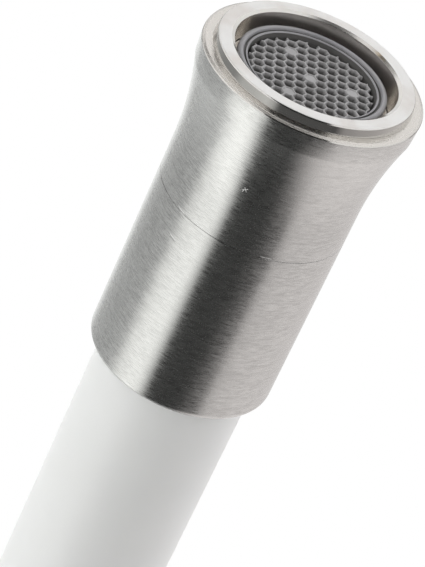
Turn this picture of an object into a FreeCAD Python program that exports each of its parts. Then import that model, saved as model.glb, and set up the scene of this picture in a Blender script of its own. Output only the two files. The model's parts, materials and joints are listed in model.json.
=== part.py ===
import FreeCAD
import Part
import math
import os

from FreeCAD import Vector

# Kitchen mixer tap with a bendable neck and a side lever. Millimetres, +Z up, the spout reaches towards -Y
# and the lever is on +X. The origin is the centre of the tap where its gasket meets the deck.

# Clearances
turning_gap = 0.05
thread_gap = 0.05
loose_gap = 0.3
tube_gap = 0.16

# Every hexagon: screw heads, screw sockets and the aerator's cells
hexagon_sides = 6

# Deck fixing
shank_radius = 16.5
shank_wall = 3.0
shank_below_deck = 92.0
shank_socket_depth = 16.0
shank_chamfer = 1.2
worktop_thickness = 30.0
clamp_rubber_thickness = 3.0
clamp_plate_thickness = 2.0
clamp_plate_radius = 28.0
clamp_rubber_radius = 27.0
clamp_nut_height = 12.0
clamp_nut_radius = 27.0
spanner_slot_width = 5.0
spanner_slot_depth = 3.0
spanner_slot_count = 4
jack_screw_count = 3
jack_screw_circle_radius = 21.8
jack_screw_radius = 2.5
jack_screw_free_length = 7.0
jack_head_across_flats = 8.0
jack_head_height = 3.5

# Base
gasket_thickness = 1.5
gasket_radius = 26.0
base_radius = 27.0
base_height = 8.0
base_edge_radius = 2.0

# Body
body_radius = 24.0
body_height = 120.0
body_edge_radius = 2.0
boss_radius = 18.0
boss_length = 42.0
boss_height = 84.0
boss_blend_radius = 1.5

# Inlets and waterways
inlet_spacing = 13.0
inlet_set_over = 4.0
inlet_thread_radius = 4.5
inlet_thread_length = 12.0
waterway_radius = 2.8
inlet_port_drop = 3.2
outlet_port_rise = 6.5
outlet_way_radius = 3.5

# Spout socket
socket_radius = 13.0
socket_depth = 24.0
spigot_end_gap = 0.6
slip_ring_thickness = 0.8
slip_ring_radius = 22.5
spigot_flange_radius = 15.0
spigot_flange_height = 5.0
spigot_bore_radius = 8.0
o_ring_thickness_radius = 1.2
o_ring_first_height = 4.0
o_ring_spacing = 5.0
retaining_groove_depth = 1.8
retaining_groove_width = 3.6
retaining_groove_below_top = 7.0
retaining_screw_radius = 2.5
retaining_screw_length = 9.0
retaining_tip_radius = 1.4
retaining_tip_length = 1.3

# Spout ferrule
ferrule_foot_radius = 23.4
ferrule_foot_height = 3.0
ferrule_flare_height = 24.0
ferrule_radius = 14.31
ferrule_height = 57.0

# Neck: sleeve over core over hose
sleeve_radius = 12.04
sleeve_wall = 2.04
core_radius = 9.6
core_wall = 2.4
hose_radius = 5.8
hose_wall = 2.2
neck_arc_radius = 95.0
neck_arc_above_bend = 6.0
crown_bend_degrees = 90.0
drop_bend_length = 42.0
drop_bend_above_nozzle = 5.5

# Hose ends: collar round the core, nipple in the hose, crimp ring round the hose
collar_radius = 12.0
collar_length = 15.0
nipple_wall = 0.9
nipple_length = 18.0
hose_end_gap = 1.0
crimp_length = 12.0
crimp_wall = 1.0
crimp_set_back = 2.0

# Nozzle, with depths counted from the mouth's face upwards
mouth_height = 240.0
nozzle_length = 54.5
nozzle_radius = 14.31
nozzle_rear_edge_radius = 1.0
seam_depth = 24.2
seam_chamfer = 0.12
rim_radius = 16.57
rim_depth = 1.6
rim_lip = 0.45
band_radius = 16.4
band_depth = 4.7
flare_end_depth = 19.5
head_spigot_radius = 13.2
head_spigot_length = 9.8
head_spigot_wall = 1.0
connector_thread_radius = 10.9
connector_thread_length = 9.2
connector_flange_height = 2.8
connector_funnel_radius = 6.5
connector_funnel_depth = 6.0
connector_o_ring_thickness_radius = 0.9
connector_o_ring_depth = 4.0

# Aerator
face_ring_radius = 14.7
face_ring_edge = 0.15
face_ring_foot_radius = 15.0
face_ring_height = 1.4
mouth_bore_radius = 12.3
mouth_bore_depth = 2.0
mouth_facet_radius = 11.4
mouth_facet_depth = 2.8
shell_thread_radius = 13.6
shell_length = 10.5
shell_lip_radius = 11.05
shell_lip_depth = 3.4
insert_radius = 11.2
insert_rim_radius = 10.95
insert_rim_depth = 1.6
insert_rim_width = 0.5
insert_groove_depth = 2.3
insert_groove_width = 0.35
inner_rim_radius = 9.9
inner_rim_depth = 1.85
inner_rim_width = 0.2
honeycomb_radius = 9.5
honeycomb_depth = 2.5
honeycomb_thickness = 2.4
cell_pitch = 1.8
cell_wall = 0.24
cell_turn_degrees = 4.0
least_cell_share = 0.25
insert_ledge = 0.55
jet_plate_depth = 5.5
jet_plate_thickness = 1.5
jet_count = 18
jet_radius = 0.6
jet_circle_share = 0.72
filter_depth = 8.0
filter_height = 2.3
filter_wall = 0.4
washer_thickness = 2.0
washer_width = 4.0
washer_radius = 13.2

# Cartridge, with its axis on +X
cartridge_radius = 12.6
cartridge_bore_radius = 13.0
cartridge_bore_depth = 24.0
seal_radius = 4.6
seal_wall = 1.2
seal_stand_out = 0.4
seal_thickness = 1.2
cartridge_base_thickness = 3.6
disc_thickness = 4.0
fixed_disc_radius = 11.3
moving_disc_radius = 7.0
disc_film = 0.03
slider_thickness = 4.2
housing_wall = 1.1
housing_top_thickness = 1.5
neck_wall = 1.6
neck_length = 4.0
stem_carrier_radius = 7.5
carrier_flange_radius = 11.2
carrier_flange_thickness = 1.0
carrier_nose = 5.5
stem_width = 5.0
stem_thickness = 6.0
stem_waist_thickness = 4.0
stem_tip_radius = 2.2
stem_side_gap = 0.1
stem_slot_half_height = 6.3
stem_pin_radius = 1.5
pivot_beyond_boss = 1.0
stem_arm = 9.5
stem_reach = 23.0
gland_nut_height = 4.0
gland_notch_width = 3.0
gland_notch_depth = 1.2
gland_notch_count = 4

# Dome and handle
dome_radius = 17.0
dome_wall = 1.2
dome_opening_radius = 12.2
dome_skirt_radius = 15.5
dome_skirt_wall = 1.9
dome_skirt_length = 4.0
lift_degrees = 25.0
cap_radius = 19.6
cap_gap = 0.4
cap_top_rim_gap = 2.5
cap_reach = 28.0
cap_edge_radius = 5.0
rod_radius = 4.0
rod_length = 85.0
rod_from_pivot = 16.0
rod_seat_depth = 1.2
rod_thread_radius = 2.5
rod_thread_length = 5.2
rod_end_radius = 1.2
grub_from_rod = 4.4
grub_radius = 2.0
grub_length = 7.0
plug_radius = 3.0
plug_depth = 2.5
plug_stand_out = 0.25

# Worked out from the sizes above
shank_bore_radius = shank_radius - shank_wall
body_top = base_height + body_height
socket_floor = body_top - socket_depth
shank_top = base_height + shank_socket_depth
clamp_top = -worktop_thickness
clamp_plate_top = clamp_top - clamp_rubber_thickness
clamp_nut_top = clamp_plate_top - clamp_plate_thickness
clamp_nut_bottom = clamp_nut_top - clamp_nut_height
neck_reach = 2 * neck_arc_radius
sleeve_bore_radius = sleeve_radius - sleeve_wall
core_bore_radius = core_radius - core_wall
hose_bore_radius = hose_radius - hose_wall
nipple_radius = hose_bore_radius - 2 * turning_gap
collar_bore_radius = (core_radius + sleeve_bore_radius) / 2
slip_ring_top = body_top + slip_ring_thickness
spigot_flange_top = slip_ring_top + spigot_flange_height
ferrule_top = slip_ring_top + ferrule_height
ferrule_bore_radius = sleeve_radius + tube_gap
drop_bend_bottom = mouth_height + nozzle_length + drop_bend_above_nozzle
drop_bend_top = drop_bend_bottom + drop_bend_length
neck_arc_height = drop_bend_top + neck_arc_above_bend
connector_shoulder = mouth_height + seam_depth
connector_collar_foot = connector_shoulder + connector_flange_height
seat_x = boss_length - cartridge_bore_depth
cartridge_base_x = seat_x + seal_stand_out
fixed_disc_x = cartridge_base_x + cartridge_base_thickness
moving_disc_x = fixed_disc_x + disc_thickness + disc_film
slider_x = moving_disc_x + disc_thickness
cavity_end_x = slider_x + slider_thickness + 2 * loose_gap + carrier_flange_thickness
housing_end_x = cavity_end_x + housing_top_thickness
neck_bore_radius = stem_carrier_radius + turning_gap
neck_outer_radius = neck_bore_radius + neck_wall
pivot_x = boss_length + pivot_beyond_boss
cap_top_rim_x = boss_length + cap_top_rim_gap
cap_end_x = pivot_x + cap_reach
rod_x = pivot_x + rod_from_pivot
grub_x = rod_x + grub_from_rod


def turned(outline):
    """Turns an outline of (radius, height) steps about Z. A pair of steps is an arc through them."""
    edges = []
    here = outline[0]
    for step in outline[1:] + [outline[0]]:
        if isinstance(step[0], tuple):
            middle, there = step
            points = [Vector(radius, 0, height) for radius, height in (here, middle, there)]
            edges.append(Part.Arc(*points).toShape())
            here = there
        elif step != here:
            edges.append(Part.makeLine(Vector(here[0], 0, here[1]), Vector(step[0], 0, step[1])))
            here = step
    face = Part.Face(Part.Wire(edges))
    return face.revolve(Vector(0, 0, 0), Vector(0, 0, 1), 360)


def quarter(centre, radius, start_degrees, end_degrees):
    """Gives the middle and end points of an arc in an outline."""
    points = []
    for degrees in ((start_degrees + end_degrees) / 2, end_degrees):
        angle = math.radians(degrees)
        points.append((centre[0] + radius * math.cos(angle), centre[1] + radius * math.sin(angle)))
    return tuple(points)


def cylinder(radius, start, end):
    """Gives a cylinder from one point to another."""
    way = Vector(*end) - Vector(*start)
    return Part.makeCylinder(radius, way.Length, Vector(*start), way)


def tube(outer_radius, inner_radius, bottom, top):
    """Gives a tube about Z."""
    outer = cylinder(outer_radius, (0, 0, bottom), (0, 0, top))
    return outer.cut(cylinder(inner_radius, (0, 0, bottom), (0, 0, top)))


def block(low, high):
    """Gives a box between two corners."""
    size = Vector(*high) - Vector(*low)
    return Part.makeBox(size.x, size.y, size.z, Vector(*low))


def on_nozzle(shape):
    """Sets a shape made with its mouth face at height 0 at the nozzle's place."""
    return shape.translated(Vector(0, -neck_reach, mouth_height))


def on_lever_axis(shape):
    """Lays a shape turned about Z along the cartridge's axis, its heights along X."""
    laid = shape.copy()
    laid.rotate(Vector(0, 0, 0), Vector(0, 1, 0), 90)
    return laid.translated(Vector(0, 0, boss_height))


def at_boss(shape):
    """Lifts a shape made about the X axis to the cartridge's height."""
    return shape.translated(Vector(0, 0, boss_height))


def round_place(radius, index, count):
    """Gives the place of one copy on a circle, and its angle in degrees."""
    degrees = 360.0 * index / count
    angle = math.radians(degrees)
    return radius * math.cos(angle), radius * math.sin(angle), degrees


def base_gasket():
    return tube(gasket_radius, shank_radius + loose_gap, 0, gasket_thickness)


def base_ring():
    bore = shank_radius + loose_gap
    outline = [
        (bore, gasket_thickness),
        (base_radius, gasket_thickness),
        (base_radius, base_height - base_edge_radius),
        quarter((base_radius - base_edge_radius, base_height - base_edge_radius), base_edge_radius, 0, 90),
        (bore, base_height),
    ]
    return turned(outline)


def mounting_shank():
    outline = [
        (shank_bore_radius, -shank_below_deck),
        (shank_radius - shank_chamfer, -shank_below_deck),
        (shank_radius, shank_chamfer - shank_below_deck),
        (shank_radius, shank_top),
        (shank_bore_radius, shank_top),
    ]
    return turned(outline)


def clamp_rubber_washer():
    return tube(clamp_rubber_radius, shank_radius + loose_gap, clamp_plate_top, clamp_top)


def clamp_steel_washer():
    return tube(clamp_plate_radius, shank_radius + loose_gap, clamp_nut_top, clamp_plate_top)


def clamp_nut():
    nut = tube(clamp_nut_radius, shank_radius + thread_gap, clamp_nut_bottom, clamp_nut_top)
    for index in range(jack_screw_count):
        x, y, _ = round_place(jack_screw_circle_radius, index, jack_screw_count)
        hole_radius = jack_screw_radius + thread_gap
        nut = nut.cut(cylinder(hole_radius, (x, y, clamp_nut_bottom), (x, y, clamp_nut_top)))
    for index in range(spanner_slot_count):
        slot = block(
            (clamp_nut_radius - spanner_slot_depth, -spanner_slot_width / 2, clamp_nut_bottom),
            (clamp_nut_radius + spanner_slot_depth, spanner_slot_width / 2, clamp_nut_top),
        )
        turn = 360.0 * (index + 0.5) / spanner_slot_count
        slot.rotate(Vector(0, 0, 0), Vector(0, 0, 1), turn)
        nut = nut.cut(slot)
    return nut


def hexagon(across_flats, bottom, top):
    """Gives a hexagonal prism about Z."""
    corner_radius = across_flats / math.sqrt(3)
    corners = []
    for index in range(hexagon_sides + 1):
        x, y, _ = round_place(corner_radius, index, hexagon_sides)
        corners.append(Vector(x, y, bottom))
    return Part.Face(Part.makePolygon(corners)).extrude(Vector(0, 0, top - bottom))


def jack_screws():
    screws = []
    shaft_bottom = clamp_nut_bottom - jack_screw_free_length
    for index in range(jack_screw_count):
        x, y, _ = round_place(jack_screw_circle_radius, index, jack_screw_count)
        shaft = cylinder(jack_screw_radius, (0, 0, shaft_bottom), (0, 0, clamp_nut_top))
        head = hexagon(jack_head_across_flats, shaft_bottom - jack_head_height, shaft_bottom)
        screws.append(shaft.fuse(head).translated(Vector(x, y, 0)))
    return Part.makeCompound(screws)


def upright_blank():
    """Gives the body's upright cylinder with its rounded top edge."""
    edge_start = body_top - body_edge_radius
    return turned(
        [
            (0, base_height),
            (body_radius, base_height),
            (body_radius, edge_start),
            quarter((body_radius - body_edge_radius, edge_start), body_edge_radius, 0, 90),
            (0, body_top),
        ]
    )


def boss_blank():
    """Gives the branch for the cartridge, with its foot shaped to the upright and blended into it."""
    upright = upright_blank()
    branch = cylinder(boss_radius, (0, 0, boss_height), (boss_length, 0, boss_height))
    joined = upright.fuse(branch).removeSplitter()
    seam = []
    for edge in joined.Edges:
        box = edge.BoundBox
        goes_round = min(box.YLength, box.ZLength) > boss_radius
        if goes_round and box.XLength > turning_gap and box.XMax < boss_length:
            seam.append(edge)
    return joined.makeFillet(boss_blend_radius, seam).cut(upright)


def cut_cartridge_bore(shape):
    """Cuts the bore that the cartridge sits in and the wider one for the dome's skirt."""
    bore = cylinder(cartridge_bore_radius, (seat_x, 0, boss_height), (boss_length, 0, boss_height))
    skirt_start = boss_length - dome_skirt_length
    skirt_bore = dome_skirt_radius + thread_gap
    skirt = cylinder(skirt_bore, (skirt_start, 0, boss_height), (boss_length, 0, boss_height))
    return shape.cut(bore).cut(skirt)


def cartridge_boss():
    return cut_cartridge_bore(boss_blank())


def mixer_body():
    body = cut_cartridge_bore(upright_blank())
    body = body.cut(cylinder(shank_radius + thread_gap, (0, 0, base_height), (0, 0, shank_top)))
    riser_top = boss_height - inlet_port_drop
    for side in (-1, 1):
        y = side * inlet_spacing / 2
        x = inlet_set_over
        thread_top = shank_top + inlet_thread_length
        body = body.cut(cylinder(inlet_thread_radius, (x, y, shank_top), (x, y, thread_top)))
        body = body.cut(cylinder(waterway_radius, (x, y, thread_top), (x, y, riser_top)))
        body = body.cut(Part.makeSphere(waterway_radius, Vector(x, y, riser_top)))
        body = body.cut(cylinder(waterway_radius, (x, y, riser_top), (seat_x, y, riser_top)))
    outlet_height = boss_height + outlet_port_rise
    body = body.cut(cylinder(waterway_radius, (0, 0, outlet_height), (seat_x, 0, outlet_height)))
    body = body.cut(cylinder(outlet_way_radius, (0, 0, outlet_height), (0, 0, socket_floor)))
    body = body.cut(Part.makeSphere(outlet_way_radius, Vector(0, 0, outlet_height)))
    body = body.cut(cylinder(socket_radius, (0, 0, socket_floor), (0, 0, body_top)))
    screw_height = body_top - retaining_groove_below_top
    screw_bore = retaining_screw_radius + thread_gap
    return body.cut(cylinder(screw_bore, (0, 0, screw_height), (0, body_radius, screw_height)))


def spout_retaining_screw():
    """Gives the grub screw at the back of the body, whose tip runs in the spigot's groove."""
    tip_y = socket_radius - retaining_tip_length
    outline = [
        (0, tip_y),
        (retaining_tip_radius, tip_y),
        (retaining_tip_radius, socket_radius + loose_gap),
        (retaining_screw_radius, socket_radius + 2 * loose_gap),
        (retaining_screw_radius, socket_radius + retaining_screw_length),
        (0, socket_radius + retaining_screw_length),
    ]
    screw = turned(outline)
    end = socket_radius + retaining_screw_length
    screw = screw.cut(hexagon(retaining_screw_radius, end - retaining_screw_length / 2, end))
    screw.rotate(Vector(0, 0, 0), Vector(1, 0, 0), -90)
    return screw.translated(Vector(0, 0, body_top - retaining_groove_below_top))


def slip_ring():
    return tube(slip_ring_radius, socket_radius + loose_gap, body_top, slip_ring_top)


def collar_and_nipple(foot):
    """Gives the collar round the core's end and the nipple in the hose, both standing up from a height."""
    collar = tube(collar_radius, collar_bore_radius, foot, foot + collar_length)
    nipple = cylinder(nipple_radius, (0, 0, foot), (0, 0, foot + nipple_length))
    return collar.fuse(nipple)


def groove(radius, depth, middle, width):
    """Gives the ring that is cut away for a groove."""
    return tube(radius + depth, radius - depth, middle - width / 2, middle + width / 2)


def o_ring_heights():
    bottom = socket_floor + spigot_end_gap + o_ring_first_height
    return [bottom, bottom + o_ring_spacing]


def spout_spigot():
    radius = socket_radius - turning_gap
    bottom = socket_floor + spigot_end_gap
    spigot = cylinder(radius, (0, 0, bottom), (0, 0, slip_ring_top))
    flange = cylinder(spigot_flange_radius, (0, 0, slip_ring_top), (0, 0, spigot_flange_top))
    spigot = spigot.fuse(flange).fuse(collar_and_nipple(spigot_flange_top))
    ring_width = 2 * o_ring_thickness_radius
    for height in o_ring_heights():
        spigot = spigot.cut(groove(radius, ring_width + turning_gap, height, ring_width + loose_gap))
    screw_height = body_top - retaining_groove_below_top
    spigot = spigot.cut(groove(radius, retaining_groove_depth, screw_height, retaining_groove_width))
    wide_top = screw_height - retaining_groove_width
    spigot = spigot.cut(cylinder(spigot_bore_radius, (0, 0, bottom), (0, 0, wide_top)))
    top = spigot_flange_top + nipple_length
    return spigot.cut(cylinder(nipple_radius - nipple_wall, (0, 0, wide_top), (0, 0, top))).removeSplitter()


def spigot_o_rings():
    ring_radius = socket_radius - 2 * turning_gap - o_ring_thickness_radius
    rings = []
    for height in o_ring_heights():
        rings.append(Part.makeTorus(ring_radius, o_ring_thickness_radius, Vector(0, 0, height)))
    return Part.makeCompound(rings)


def spout_ferrule():
    """Gives the turned ferrule: a wide foot, a hollow flare and a plain sleeve with a rounded rim."""
    recess = spigot_flange_radius + turning_gap
    flare_top = slip_ring_top + ferrule_flare_height
    flare_foot = slip_ring_top + ferrule_foot_height
    outline = [
        (recess, slip_ring_top),
        (ferrule_foot_radius, slip_ring_top),
        (ferrule_foot_radius, flare_foot),
        flare((ferrule_foot_radius, flare_foot), (ferrule_radius, flare_top)),
        (ferrule_radius, ferrule_top - nozzle_rear_edge_radius),
        quarter(
            (ferrule_radius - nozzle_rear_edge_radius, ferrule_top - nozzle_rear_edge_radius),
            nozzle_rear_edge_radius,
            0,
            90,
        ),
        (ferrule_bore_radius, ferrule_top),
        (ferrule_bore_radius, spigot_flange_top),
        (recess, spigot_flange_top),
    ]
    return turned(outline)


def flare(wide, narrow):
    """Gives the hollow arc from a wide edge to a plain tube, tangent to the tube."""
    rise = narrow[1] - wide[1]
    step = wide[0] - narrow[0]
    radius = (rise * rise + step * step) / (2 * step)
    half_turn = math.asin(rise / radius) / 2
    middle = (
        narrow[0] + radius * (1 - math.cos(half_turn)),
        narrow[1] - radius * math.sin(half_turn),
    )
    return middle, narrow


def crimp_ring(foot):
    bore = hose_radius + 2 * turning_gap
    bottom = foot + hose_end_gap + crimp_set_back
    return tube(bore + crimp_wall, bore, bottom, bottom + crimp_length)


def arc_tube(outer_radius, inner_radius, start_degrees, end_degrees):
    """Gives a stretch of tube on the neck's arc, counted from the rising side."""
    centre = Vector(0, 0, neck_arc_height)
    axis_point = Vector(0, -neck_arc_radius, neck_arc_height)
    axis = Vector(1, 0, 0)
    rods = []
    for radius in (outer_radius, inner_radius):
        section = Part.Face(Part.Wire(Part.makeCircle(radius, centre)))
        section.rotate(axis_point, axis, start_degrees)
        rods.append(section.revolve(axis_point, axis, end_degrees - start_degrees))
    return rods[0].cut(rods[1])


def falling_tube(outer_radius, inner_radius, bottom, top):
    """Gives an upright stretch of tube on the falling side of the neck."""
    return tube(outer_radius, inner_radius, bottom, top).translated(Vector(0, -neck_reach, 0))


crown_start = 90 - crown_bend_degrees / 2
crown_end = 90 + crown_bend_degrees / 2
sleeve_foot = spigot_flange_top + collar_length
sleeve_end = connector_collar_foot + collar_length


def neck_sleeve_rise():
    straight = tube(sleeve_radius, sleeve_bore_radius, sleeve_foot, neck_arc_height)
    return straight.fuse(arc_tube(sleeve_radius, sleeve_bore_radius, 0, crown_start))


def neck_sleeve_crown():
    return arc_tube(sleeve_radius, sleeve_bore_radius, crown_start, crown_end)


def neck_sleeve_fall():
    straight = falling_tube(sleeve_radius, sleeve_bore_radius, drop_bend_top, neck_arc_height)
    return arc_tube(sleeve_radius, sleeve_bore_radius, crown_end, 180).fuse(straight)


def neck_sleeve_drop():
    return falling_tube(sleeve_radius, sleeve_bore_radius, drop_bend_bottom, drop_bend_top)


def neck_sleeve_end():
    return falling_tube(sleeve_radius, sleeve_bore_radius, sleeve_end, drop_bend_bottom)


def inner_over_crown(outer_radius, inner_radius):
    """Gives the stretch of core or hose from the spout's foot over the crown to the lower bend."""
    start = spigot_flange_top + hose_end_gap
    rise = tube(outer_radius, inner_radius, start, neck_arc_height)
    fall = falling_tube(outer_radius, inner_radius, drop_bend_top, neck_arc_height)
    return rise.fuse(arc_tube(outer_radius, inner_radius, 0, 180)).fuse(fall)


def inner_at_drop(outer_radius, inner_radius):
    """Gives the stretch of core or hose from the lower bend into the nozzle."""
    return falling_tube(outer_radius, inner_radius, connector_collar_foot + hose_end_gap, drop_bend_top)


def outlet_head():
    front_bore = shell_thread_radius + thread_gap
    seat_depth = shell_length + washer_thickness
    spigot_end = seam_depth + head_spigot_length
    outline = [
        (front_bore, face_ring_height),
        (rim_radius - rim_lip, face_ring_height),
        (rim_radius - seam_chamfer, rim_depth),
        (rim_radius, rim_depth + seam_chamfer),
        (band_radius, band_depth),
        flare((band_radius, band_depth), (nozzle_radius, flare_end_depth)),
        (nozzle_radius, seam_depth - seam_chamfer),
        (nozzle_radius - seam_chamfer, seam_depth),
        (head_spigot_radius, seam_depth),
        (head_spigot_radius, spigot_end),
        (head_spigot_radius - head_spigot_wall, spigot_end),
        (head_spigot_radius - head_spigot_wall, seam_depth),
        (connector_thread_radius + thread_gap, seam_depth),
        (connector_thread_radius + thread_gap, seat_depth),
        (front_bore, seat_depth),
    ]
    return on_nozzle(turned(outline))


def rear_sleeve():
    bore = sleeve_radius + tube_gap
    spigot_bore = head_spigot_radius + thread_gap
    recess_end = seam_depth + head_spigot_length + loose_gap
    rear = nozzle_length - nozzle_rear_edge_radius
    outline = [
        (spigot_bore, seam_depth),
        (nozzle_radius - seam_chamfer, seam_depth),
        (nozzle_radius, seam_depth + seam_chamfer),
        (nozzle_radius, rear),
        quarter((nozzle_radius - nozzle_rear_edge_radius, rear), nozzle_rear_edge_radius, 0, 90),
        (bore, nozzle_length),
        (bore, recess_end),
        (spigot_bore, recess_end),
    ]
    return on_nozzle(turned(outline))


def nozzle_connector():
    """Gives the brass connector: a threaded front with a funnel, a flange, the collar and the nipple."""
    front = seam_depth - connector_thread_length
    collar_foot = seam_depth + connector_flange_height
    flange_radius = head_spigot_radius - head_spigot_wall - turning_gap
    thread = cylinder(connector_thread_radius, (0, 0, front), (0, 0, seam_depth))
    flange = cylinder(flange_radius, (0, 0, seam_depth), (0, 0, collar_foot))
    connector = thread.fuse(flange).fuse(collar_and_nipple(collar_foot))
    ring_width = 2 * connector_o_ring_thickness_radius
    ring_groove = groove(
        connector_thread_radius,
        ring_width + turning_gap,
        front + connector_o_ring_depth,
        ring_width + loose_gap,
    )
    connector = connector.cut(ring_groove)
    funnel_end = front + connector_funnel_depth
    connector = connector.cut(cylinder(connector_funnel_radius, (0, 0, front), (0, 0, funnel_end)))
    top = collar_foot + nipple_length
    connector = connector.cut(cylinder(nipple_radius - nipple_wall, (0, 0, funnel_end), (0, 0, top)))
    return on_nozzle(connector.removeSplitter())


def connector_o_ring():
    ring_radius = connector_thread_radius - connector_o_ring_thickness_radius
    depth = seam_depth - connector_thread_length + connector_o_ring_depth
    return on_nozzle(Part.makeTorus(ring_radius, connector_o_ring_thickness_radius, Vector(0, 0, depth)))


def aerator_shell():
    pocket = insert_radius + turning_gap
    outline = [
        (mouth_bore_radius, 0),
        (face_ring_radius - face_ring_edge, 0),
        (face_ring_radius, face_ring_edge),
        (face_ring_foot_radius, face_ring_height),
        (shell_thread_radius, face_ring_height),
        (shell_thread_radius, shell_length),
        (pocket, shell_length),
        (pocket, shell_lip_depth),
        (shell_lip_radius, shell_lip_depth),
        (shell_lip_radius, mouth_facet_depth),
        (mouth_facet_radius, mouth_facet_depth),
        (mouth_bore_radius, mouth_bore_depth),
    ]
    return on_nozzle(turned(outline))


def aerator_insert():
    """Gives the grey cup: rounded outer rim, groove, thin inner rim and a cone down to the honeycomb."""
    shoulder = shell_lip_depth + turning_gap
    ledge_depth = honeycomb_depth + honeycomb_thickness + 2 * turning_gap
    bore = honeycomb_radius + turning_gap
    rim_inner = insert_rim_radius - 2 * insert_rim_width
    groove_inner = inner_rim_radius + inner_rim_width
    rim_middle = (insert_rim_radius - insert_rim_width, insert_rim_depth + insert_rim_width)
    outline = [
        (insert_radius, shell_length),
        (insert_radius, shoulder),
        (insert_rim_radius, shoulder),
        (insert_rim_radius, rim_middle[1]),
        ((rim_middle[0], insert_rim_depth), (rim_inner, rim_middle[1])),
        (groove_inner + insert_groove_width / 2, insert_groove_depth),
        (groove_inner, insert_groove_depth),
        (groove_inner, inner_rim_depth),
        (inner_rim_radius, inner_rim_depth),
        (bore, honeycomb_depth),
        (bore, ledge_depth),
        (bore - insert_ledge, ledge_depth),
        (bore - insert_ledge, shell_length),
    ]
    return on_nozzle(turned(outline))


def cell_face(x, y):
    """Gives one open cell of the honeycomb as a face, cut off at the honeycomb's border."""
    corner_radius = (cell_pitch - cell_wall) / math.sqrt(3)
    corners = []
    for index in range(hexagon_sides + 1):
        angle = math.radians(cell_turn_degrees + 360 * (index + 0.5) / hexagon_sides)
        corners.append(Vector(x + corner_radius * math.cos(angle), y + corner_radius * math.sin(angle), 0))
    face = Part.Face(Part.makePolygon(corners))
    border = honeycomb_radius - cell_wall
    if math.hypot(x, y) + corner_radius <= border:
        return face
    disc = Part.Face(Part.Wire(Part.makeCircle(border)))
    inside = face.common(disc)
    if inside.Area < least_cell_share * face.Area:
        return None
    return inside.Faces[0]


def is_blind(column, row):
    """Says whether a cell is filled in: the middle one, and three round it, a third of a turn apart."""
    return (column, row) in ((0, 0), (-2, 4), (-2, -2), (4, -2))


def aerator_honeycomb():
    turn = math.radians(cell_turn_degrees)
    reach = int(honeycomb_radius / cell_pitch) + 2
    wires = [Part.Wire(Part.makeCircle(honeycomb_radius))]
    for column in range(-2 * reach, 2 * reach + 1):
        for row in range(-reach, reach + 1):
            across = cell_pitch * (column + row / 2)
            up = cell_pitch * row * math.sqrt(3) / 2
            x = across * math.cos(turn) - up * math.sin(turn)
            y = across * math.sin(turn) + up * math.cos(turn)
            if math.hypot(x, y) > honeycomb_radius or is_blind(column, row):
                continue
            cell = cell_face(x, y)
            if cell is not None:
                wires.append(cell.OuterWire)
    plate = Part.Face(wires, "Part::FaceMakerBullseye").extrude(Vector(0, 0, honeycomb_thickness))
    return on_nozzle(plate.translated(Vector(0, 0, honeycomb_depth)))


def aerator_jet_plate():
    radius = honeycomb_radius - insert_ledge
    plate = cylinder(radius, (0, 0, jet_plate_depth), (0, 0, jet_plate_depth + jet_plate_thickness))
    for index in range(jet_count):
        x, y, _ = round_place(radius * jet_circle_share, index, jet_count)
        jet = cylinder(jet_radius, (x, y, jet_plate_depth), (x, y, jet_plate_depth + jet_plate_thickness))
        plate = plate.cut(jet)
    return on_nozzle(plate)


def aerator_filter():
    """Gives the dished sieve behind the jets."""
    rim = honeycomb_radius - insert_ledge
    top = filter_depth + filter_height
    outline = [
        (0, filter_depth),
        (rim / 2, filter_depth),
        (rim - filter_wall, top - filter_wall),
        (rim, top - filter_wall),
        (rim, top),
        (rim - 2 * filter_wall, top),
        (rim / 2 - filter_wall, filter_depth + filter_wall),
        (0, filter_depth + filter_wall),
    ]
    return on_nozzle(turned(outline))


def aerator_washer():
    top = shell_length + washer_thickness
    return on_nozzle(tube(washer_radius, washer_radius - washer_width, shell_length, top))


def port_places():
    """Gives the cartridge's ports as (y, height) beside its axis: two inlets and the outlet."""
    half = inlet_spacing / 2
    return [(-half, -inlet_port_drop), (half, -inlet_port_drop), (0, outlet_port_rise)]


def drill_ports(plate, radius, start_x, end_x):
    for y, rise in port_places():
        z = boss_height + rise
        plate = plate.cut(cylinder(radius, (start_x, y, z), (end_x, y, z)))
    return plate


def x_disc(radius, start_x, end_x):
    """Gives a disc about the cartridge's axis."""
    return cylinder(radius, (start_x, 0, boss_height), (end_x, 0, boss_height))


def cartridge_seals():
    seals = []
    for y, rise in port_places():
        z = boss_height + rise
        start = (seat_x, y, z)
        end = (seat_x + seal_thickness, y, z)
        outer = cylinder(seal_radius - turning_gap, start, end)
        seals.append(outer.cut(cylinder(seal_radius - seal_wall, start, end)))
    return Part.makeCompound(seals)


def cartridge_base():
    base = x_disc(cartridge_radius, cartridge_base_x, fixed_disc_x)
    base = drill_ports(base, waterway_radius, cartridge_base_x, fixed_disc_x)
    return drill_ports(base, seal_radius, cartridge_base_x, seat_x + seal_thickness)


def fixed_ceramic_disc():
    end_x = fixed_disc_x + disc_thickness
    return drill_ports(x_disc(fixed_disc_radius, fixed_disc_x, end_x), waterway_radius, fixed_disc_x, end_x)


def moving_ceramic_disc():
    """Gives the moving disc, with the hollow in its face that joins the ports when it slides."""
    disc = x_disc(moving_disc_radius, moving_disc_x, slider_x)
    hollow = x_disc(moving_disc_radius / 2, moving_disc_x, moving_disc_x + disc_thickness / 2)
    return disc.cut(hollow)


def disc_slider():
    """Gives the slider on the moving disc, with the pocket that the stem's tip drives."""
    end_x = slider_x + slider_thickness
    slider = x_disc(moving_disc_radius, slider_x, end_x)
    half_width = stem_width / 2 + stem_side_gap
    half_height = stem_tip_radius + loose_gap
    floor_x = pivot_x - stem_arm - stem_tip_radius - loose_gap
    return slider.cut(at_boss(block((floor_x, -half_width, -half_height), (end_x, half_width, half_height))))


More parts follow.
